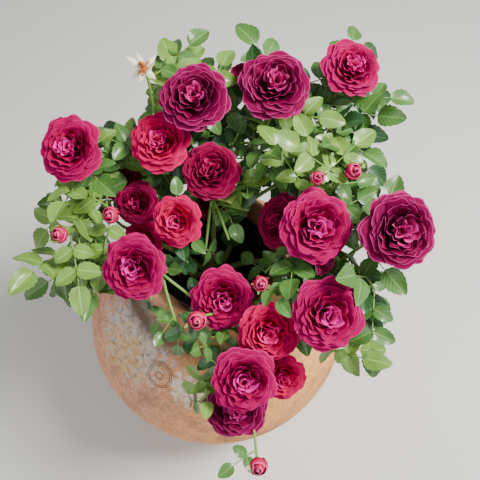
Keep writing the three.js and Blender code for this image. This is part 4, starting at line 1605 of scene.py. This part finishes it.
body, rim = slice(0, -1), slice(-1, None)  # the rows of cells of a petal and of its pale edge


def petalsOf(width, random):
    # u runs from foot to rim and v across. The middle line is (1-t)^2 foot + 2 t (1-t) bend + t^2 rim; across
    # it a petal wraps round a circle of its own reach, and its rim is rounded, notched, rolled and ruffled
    limit, fewer = petalRule["small"]
    count = petalRule["count"] if width > limit else round(petalRule["count"] * fewer)
    order = np.linspace(0, 1, count)
    keys = ("reach", "level", "width", "cup", "ruffle", "swing")
    rows = (np.interp(order, petalRule["order"], petalRule[key]) for key in keys)
    reach, level, breadth, cup, ruffle, swing = (row[:, None, None] for row in rows)
    reach = reach * random.uniform(*petalRule["reachVaries"], reach.shape)
    level = level + random.uniform(*petalRule["levelVaries"], level.shape)
    breadth = breadth * random.uniform(*petalRule["widthVaries"], breadth.shape)
    u = petalGrid["u"][None, :, None]
    v = petalGrid["v"][None, None, :]
    stray = random.uniform(-petalRule["stray"], petalRule["stray"], count)
    theta = np.radians(petalRule["turn"] * np.arange(count) + stray)[:, None, None]
    theta = theta + random.uniform(*anyAngle)
    notch = random.uniform(*petalRule["notch"], reach.shape)
    t = u * (1 - petalRule["rounded"] * v**2 - notch * np.exp(-((v / petalRule["notchWidth"]) ** 2)))
    footReach, footLevel = petalRule["foot"]
    bendReach = (1 - cup) * 0.5 * reach + cup * (reach * 1.08 + 0.015)
    bendLevel = (1 - cup) * (level + 0.05) + cup * -0.13
    out = (1 - t) ** 2 * footReach + 2 * t * (1 - t) * bendReach + t**2 * reach
    rise = (1 - t) ** 2 * footLevel + 2 * t * (1 - t) * bendLevel + t**2 * level
    curl = np.clip((t - petalRule["rollFrom"]) / (1 - petalRule["rollFrom"]), 0, 1) ** 2
    rollOut, rollDown, rollLess = petalRule["roll"]
    out = out + rollOut * curl
    rise = rise - (rollDown - rollLess * cup) * curl
    half = 0.5 * breadth * np.sin(np.pi * (0.13 + 0.55 * u)) ** 0.8
    hug = np.maximum(out, 0.5 * breadth)
    wrap = half * v / hug
    waves = random.uniform(*petalRule["folds"], (2, count))[..., None, None]
    starts = random.uniform(*anyAngle, (3, count))[..., None, None]
    wave = ruffle * t**2
    out = out - 0.85 * hug * (1 - np.cos(wrap)) + wave * np.sin(waves[0] * np.pi * v + starts[0])
    aside = hug * np.sin(wrap) + 0.4 * wave * np.sin(2.2 * np.pi * v + starts[1])
    rise = rise + 0.8 * wave * np.sin(waves[1] * np.pi * v + starts[2])
    turned = theta + np.radians(swing) * random.uniform(-1, 1, reach.shape)
    hold = petalRule["held"] * reach * u
    return order, (turnedAbout(out - hold, aside, rise, turned) + turnedAbout(hold, 0, 0, theta)) * width


def makeBlooms(blooms):
    # petals are gathered by tint and part; the last row of cells of every petal is its pale edge
    random = np.random.default_rng(33)
    gathered = {}
    for item in blooms:
        order, petals = petalsOf(item["tip"]["width"], random)
        petals = setOn(item, petals)
        part = np.where(order < petalRule["innerFrom"], 0, np.where(order < petalRule["heartFrom"], 1, 2))
        strays = random.uniform(0, 1, len(part)) < petalRule["strayOuter"]
        part = np.where((part == 1) & strays, 0, part)
        for index, name in enumerate(petalParts):
            gathered.setdefault((item["tip"]["tint"], name), []).append(petals[part == index])
    uv = uvOf((petalGrid["v"] + 1) / 2, petalGrid["u"])
    for tint, (outer, inner, heart, edge, fold) in petalTints.items():
        grids = [np.concatenate(gathered[tint, part]) for part in petalParts]
        # each part's second colour is its painted shade at the foot and the colour of its streaks: the fold
        # colour, and the inner colour for the heart
        for part, grid, colour, foot in zip(petalParts, grids, (outer, inner, heart), (fold, fold, inner)):
            material = silken("petal_" + part + "_" + tint, colour, foot)
            gridPiece("petals_" + part + "_" + tint, grid, material, uv=uv, cells=body)
        material = silken("petal_edge_" + tint, edge, outer)
        gridPiece("petal_edges_" + tint, np.concatenate(grids), material, uv=uv, cells=rim)


# sepals, hips, buds and the spent bloom; lengths are shares of a bloom's or bud's width

sepal = {
    "count": 5,
    "rows": 7,
    "columns": np.array([1.0, 0.0, -1.0]),
    "length": 0.36,
    "width": 0.13,
    "budWidth": 0.34,
    "sway": (-0.3, 0.3),
    "look": {"colour": (120, 158, 82), "vein": (170, 190, 120)},
}
hip = {
    "rows": 8,
    "sides": 10,
    "least": 0.001,  # mm added to the radius
    "bloom": {"radius": 0.085, "top": -0.12, "depth": 0.17},
    "bud": {"radius": 0.26, "top": -0.35, "depth": 0.5},
}


def sepalGrid(items, width, rise, reach, random):
    # narrow blades round the stalk: out by reach(u), up by rise(u), half width w sin(pi u^0.7)
    u = np.linspace(0, 1, sepal["rows"])[:, None]
    v = sepal["columns"][None, :]
    grids = []
    for item in items:
        size = item["tip"]["width"]
        theta = 2 * np.pi * np.arange(sepal["count"])[:, None, None] / sepal["count"]
        theta = theta + random.uniform(*anyAngle)
        sway = random.uniform(*sepal["sway"], sepal["count"])[:, None, None]
        half = width * size * np.sin(np.pi * np.clip(u, 0.02, 0.985) ** 0.7) * 0.5
        high = rise(u, sway) * size - 0.3 * half * np.abs(v)
        grids.append(setOn(item, turnedAbout(reach(u, sway) * size, half * v, high, theta)))
    return np.concatenate(grids)


def hipGrid(items, shape):
    # a small urn under each bloom: radius r sin(pi s)^0.6 + least, from the stalk's end up into the petals
    s = np.linspace(0, 1, hip["rows"])
    grids = []
    for item in items:
        width = item["tip"]["width"]
        girth = shape["radius"] * width * np.sin(np.pi * s) ** 0.6 + hip["least"]
        high = (shape["top"] - shape["depth"] * (1 - s)) * width
        grids.append(setOn(item, turnedGrid(np.stack([girth, high], axis=1), hip["sides"])))
    return np.stack(grids)


def makeCalyces(blooms, buds):
    # sepals hang under the blooms and hug the buds, and a hip stands under each
    random = np.random.default_rng(8)
    blade = bladed("sepal", sepal["look"])
    uv = uvOf((sepal["columns"] + 1) / 2, np.linspace(0, 1, sepal["rows"]))
    under = sepalGrid(
        blooms, sepal["width"],
        lambda u, sway: -0.24 + 0.04 * u - (0.12 + 0.1 * sway) * u**2,
        lambda u, sway: 0.04 + sepal["length"] * u,
        random,
    )
    hugging = sepalGrid(
        buds, sepal["budWidth"],
        lambda u, sway: -0.5 + (0.62 + 0.5 * sway) * u,
        lambda u, sway: 0.12 + 0.4 * np.sin(np.pi * 0.5 * u) + (0.12 + 0.3 * sway) * u**3,
        random,
    )
    gridPiece("sepals_bloom", under, blade, uv=uv)
    gridPiece("sepals_bud", hugging, blade, uv=uv)
    for kind, items in (("bloom", blooms), ("bud", buds)):
        grid = hipGrid(items, hip[kind])
        gridPiece("hips_" + kind, grid, bpy.data.materials["young_twig"], around=True, weld=True)


budLayers = {
    "radius": (0.55, 0.50, 0.45, 0.38, 0.28, 0.16),
    "top": (0.12, 0.22, 0.32, 0.42, 0.50, 0.55),
    "close": (0.62, 0.68, 0.74, 0.80, 0.86, 0.88),  # the higher, the more a petal's top bends in
    "half": 1.8,  # half of the angle that a petal wraps round, in radians
    "foot": -0.45,
    "step": 2.4,  # radians from one petal to the next
    "rows": 11,
    "columns": 9,
    # the petals' colour, and the painted shade at their feet, which their streaks take too
    "petal": ((198, 10, 78), (150, 0, 50)),
    "rim": ((228, 92, 136), (210, 56, 110)),
}


def budGrid(items, random):
    # petals wrapped round an egg, one inside the other:
    # radius r sin(pi (0.12 + close s))^0.7, angle t + half v (1 - s^3 / 4)
    s = np.linspace(0, 1, budLayers["rows"])[:, None]
    v = np.linspace(1, -1, budLayers["columns"])[None, :]
    radius, top, close = (np.array(budLayers[key])[:, None, None] for key in ("radius", "top", "close"))
    layer = np.arange(len(radius))[:, None, None]
    foot = budLayers["foot"]
    girth = radius * np.sin(np.pi * (0.12 + close * s)) ** 0.7
    high = foot + (top - foot) * s - 0.12 * s**2 * v**2 + 0.02 * s * np.sin(5 * v + layer)
    grids = []
    for item in items:
        start = random.uniform(*anyAngle)
        theta = layer * budLayers["step"] + start + budLayers["half"] * v * (1 - 0.25 * s**3)
        grids.append(setOn(item, turnedAbout(girth, 0, high, theta) * item["tip"]["width"]))
    return np.concatenate(grids)


def makeBuds(buds):
    # the petals, and their last row of cells as a paler rim
    grid = budGrid(buds, np.random.default_rng(9))
    uv = uvOf(np.linspace(1, 0, budLayers["columns"]), np.linspace(0, 1, budLayers["rows"]))
    gridPiece("bud_petals", grid, silken("bud_petal", *budLayers["petal"]), uv=uv, cells=body)
    gridPiece("bud_rims", grid, silken("bud_rim", *budLayers["rim"]), uv=uv, cells=rim)


spent = {
    "rays": 7,
    "strays": (-0.2, 0.2),  # of the angle between two rays
    "lengths": (0.6, 0.95),
    "breadth": 0.19,  # half a ray's width, as a share of its length
    "curls": (-0.5, 0.3),
    "rows": 8,
    "columns": 5,
    "knots": 60,
    "knotSpread": 3.4,  # mm
    "knotSize": (1.4, 2.8),
    "knotGrid": (5, 7),
    "star": {
        "colour": (240, 232, 200), "other": (206, 184, 128),
        "size": 150.0, "share": 0.4, "roughness": 0.75, "bump": 0.4,
    },
    "heart": {
        "colour": (232, 158, 84), "other": (168, 98, 44),
        "size": 220.0, "share": 0.5, "roughness": 0.9, "bump": 0.8,
    },
}


def makeSpent(item):
    # a star of dry sepals and petals round a brown heart of small knots
    random = np.random.default_rng(4)
    width, rays = item["tip"]["width"], spent["rays"]
    u = np.linspace(0, 1, spent["rows"])[:, None]
    v = np.linspace(1, -1, spent["columns"])[None, :]
    theta = (2 * np.pi * (np.arange(rays) + random.uniform(*spent["strays"], rays)) / rays)[:, None, None]
    length = random.uniform(*spent["lengths"], rays)[:, None, None] * width
    half = spent["breadth"] * length * np.sin(np.pi * np.clip(u, 0.04, 0.98) ** 0.9)
    curl = random.uniform(*spent["curls"], rays)[:, None, None]
    high = width * (-0.1 + curl * u**2) - 0.4 * half * np.abs(v)
    star = setOn(item, turnedAbout(length * u, half * v, high, theta))
    gridPiece("spent_star", star, mottled("dry_petal", spent["star"]))
    centres = setOn(item, random.normal(0, spent["knotSpread"], (spent["knots"], 3)))
    knots = blobGrid(centres, random.uniform(*spent["knotSize"], spent["knots"]), random, *spent["knotGrid"])
    gridPiece("spent_heart", knots, mottled("dry_heart", spent["heart"]), around=True)


# twigs and thorns

thorn = {
    "onLimb": (9, 4.2),  # how many there are, and the stem's radius
    "onTwig": (2, 2.2),
    "along": (0.08, 0.85),
    "sizes": (0.6, 1.0),
    "fullOn": 3.6,  # the stem's radius from which thorns are of full size
    "sunk": 1.4,
    "length": 6.5,
    "radius": 2.0,
    "hook": 0.45,
    "steps": 5,
    "sides": 6,
    "look": {
        "colour": (150, 78, 54), "other": (176, 120, 84),
        "size": 200.0, "share": 0.4, "roughness": 0.5, "bump": 0.2,
    },
}


def makeTwigs(curves):
    # tapering tubes, a little thinner than the frame's
    share = np.linspace(0, 1, twig["rings"])
    paths = np.stack([pointAt(curve, share) for curve in curves])
    radii = taper(twig, share) * twig["thinned"]
    return tubePiece("twigs", paths, radii, twig["sides"], mottled("young_twig", twig["look"]))


def makeThorns(limbs, twigCurves):
    # hooked cones: a ring drawn in to a point along d - hook s^2 up
    random = np.random.default_rng(12)
    feet, directions, sizes = [], [], []
    rods = [(curve, *thorn["onLimb"]) for curve in limbs.values()]
    rods += [(curve, *thorn["onTwig"]) for curve in twigCurves]
    for curve, count, radius in rods:
        share = random.uniform(*thorn["along"], count)
        out = unit(np.cross(tangentAt(curve, share), random.normal(0, 1, (count, 3))))
        feet.append(pointAt(curve, share) + out * (radius - thorn["sunk"]))
        directions.append(out)
        sizes.append(random.uniform(*thorn["sizes"], count) * min(1.0, radius / thorn["fullOn"]))
    feet, directions, sizes = (np.concatenate(part) for part in (feet, directions, sizes))
    s = np.linspace(0, 1, thorn["steps"])
    length = thorn["length"] * sizes[:, None, None]
    hooked = directions[:, None] * s[:, None] - up * thorn["hook"] * (s**2)[:, None]
    radii = sizes[:, None] * thorn["radius"] * (1 - s) ** 0.8 + 0.02
    grid = sweptGrid(feet[:, None] + hooked * length, radii, thorn["sides"])
    gridPiece("thorns", grid, mottled("thorn", thorn["look"]), around=True)


# floor and light

light = {
    "world": (0.86, 0.9, 0.95),
    "worldStrength": 0.42,
    "key": {"at": (1.4, 0.0, 2.7), "size": 0.8, "power": 132},
    "fill": {"at": (-1.1, -1.8, 2.6), "size": 2.4, "power": 34},
    "aim": (0, 0, 0.6),
}
floor = {"reach": 6.0, "colour": (226, 224, 218), "roughness": 0.9}


def addLight(name, at, size, power):
    # a square lamp turned to the aim: tilt atan2(level distance, drop), heading atan2(x, -y) + pi
    data = bpy.data.lights.new(name, "AREA")
    data.energy = power
    data.size = size
    lamp = addObject(name, data)
    lamp.location = at
    x, y, z = np.array(light["aim"]) - np.array(at)
    lamp.rotation_euler = (math.atan2(math.hypot(x, y), -z), 0, math.atan2(x, -y) + math.pi)


def setStage():
    # a square floor, a pale sky and two lamps
    mesh = bpy.data.meshes.new("floor")
    reach = floor["reach"]
    corners = [(-reach, -reach, 0), (reach, -reach, 0), (reach, reach, 0), (-reach, reach, 0)]
    mesh.from_pydata(corners, [], [(0, 1, 2, 3)])
    finish = {"Roughness": floor["roughness"], "Base Color": colourOf(*floor["colour"])}
    mesh.materials.append(newMaterial("floor", finish)[0])
    addObject("floor", mesh)
    world = bpy.data.worlds.new("world")
    world.use_nodes = True
    background = world.node_tree.nodes["Background"]
    background.inputs["Color"].default_value = (*light["world"], 1)
    background.inputs["Strength"].default_value = light["worldStrength"]
    bpy.context.scene.world = world
    addLight("key", **light["key"])
    addLight("fill", **light["fill"])


# the whole plant

def cleared(plans):
    # without the leaves that stand between the viewer and a clearing
    def hides(plan, clearing):
        inside, nearer = insideCone(plan["probes"], clearing)
        return (inside & nearer).any()

    return [plan for plan in plans if not any(hides(plan, clearing) for clearing in clearings)]


def crowdOf(grown, limbs):
    # what the leaves have to leave room for: the space of each spray, the limbs and the open blooms
    blooms = [item for twigs in grown for item in twigs if item["tip"]["kind"] == "bloom"]
    along = np.linspace(0, 1, ballRule["perLimb"] + 1)
    points = np.concatenate([pointAt(curve, along)[:-1] for curve in limbs.values()])
    return {
        "spaces": [spaceOf(twigs) for twigs in grown],
        "limbs": np.column_stack([points, np.full(len(points), cane["tipRadius"] + ballRule["limbMargin"])]),
        "blooms": {
            "at": np.array([item["tip"]["at"] for item in blooms]),
            "turn": np.array([item["turn"] for item in blooms]),
            "width": np.array([item["tip"]["width"] for item in blooms]),
        },
    }


def growLeaves(grown, limbs):
    # the first leaves of every spray, and then the finer ones, which are set among all that stand already
    crowd = crowdOf(grown, limbs)
    largest = [size for _, size, _ in sprays.values()]
    plans = []
    for own, twigs in enumerate(grown):
        mine = {**crowd, "own": own}
        plans.append(cleared(leavesOf(twigs, mine, leafRule, leafSizes[largest[own]:], [])))
    standing = [plan for spray in plans for plan in spray]
    print("first leaves", len(standing), [len(spray) for spray in plans])
    for own, twigs in enumerate(grown):
        mine = {**crowd, "own": own}
        finer = cleared(leavesOf(twigs, mine, fineRule, fineSizes[largest[own]:], standing))
        plans[own] += finer
        standing += finer
    print("all leaves", len(standing), [len(spray) for spray in plans])
    return plans


def dealTints(plans):
    # high and outer leaves get the paler greens, low and inner ones the darker: partly their own younger and
    # older green, partly painted light and painted shade
    random = np.random.default_rng(3)
    dealt = {tint: [] for tint in leafTints}
    lowHeight, perHeight = sunRule["height"]
    innerReach, perReach = sunRule["reach"]
    for name, spray in zip(sprays, plans):
        for plan in spray:
            x, y, z = plan["centre"]
            sun = (z - lowHeight) / perHeight + (math.hypot(x, y) - innerReach) / perReach
            sun += random.uniform(-sunRule["varies"], sunRule["varies"]) + sunned.get(name, 0)
            dealt[next(tint for tint, most in sunRule["tints"] if sun < most)].append(plan)
    return dealt


def buildBush():
    # limbs first, then the leaves that have room on the twigs, then what the twigs end in
    limbs = limbCurves()
    canes = makeLimbs("canes", [limbs[name] for name in caneTips], cane, mottled("cane", cane["look"]))
    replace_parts(canes, *caneTips)
    boughs = makeLimbs("boughs", [limbs[name] for name in boughPlan], bough, mottled("bough", bough["look"]))
    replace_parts(boughs, *boughPlan)
    print("limbs done")
    grown = [twigsOf(tips, limbs[limb]) for limb, _, tips in sprays.values()]
    planned = dealTints(growLeaves(grown, limbs))
    every = [item for twigs in grown for item in twigs]
    twigCurves = [item["curve"] for item in every]
    twigs = makeTwigs(twigCurves)
    makeThorns(limbs, twigCurves)
    print("twigs and thorns done")
    makeLeaves(planned)
    makeSprigs(planned)
    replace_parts(twigs, *["foliage_" + name for name in sprays])
    print("leaves done")
    spray, order = spentTip
    faded = grown[list(sprays).index(spray)][order]
    blooms = [item for item in every if item["tip"]["kind"] == "bloom"]
    buds = [item for item in every if item["tip"]["kind"] == "bud" and item is not faded]
    makeBlooms(blooms)
    makeCalyces(blooms, buds)
    makeBuds(buds)
    makeSpent(faded)
    print("blooms and buds done")


setCamera()
setStage()
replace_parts(makeJar(), "jar")
makeSeal()
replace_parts(makeEarth(), "soil")
makeClods()
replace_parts(makeKnob(), "stem_base")
print("jar and earth done")
buildBush()
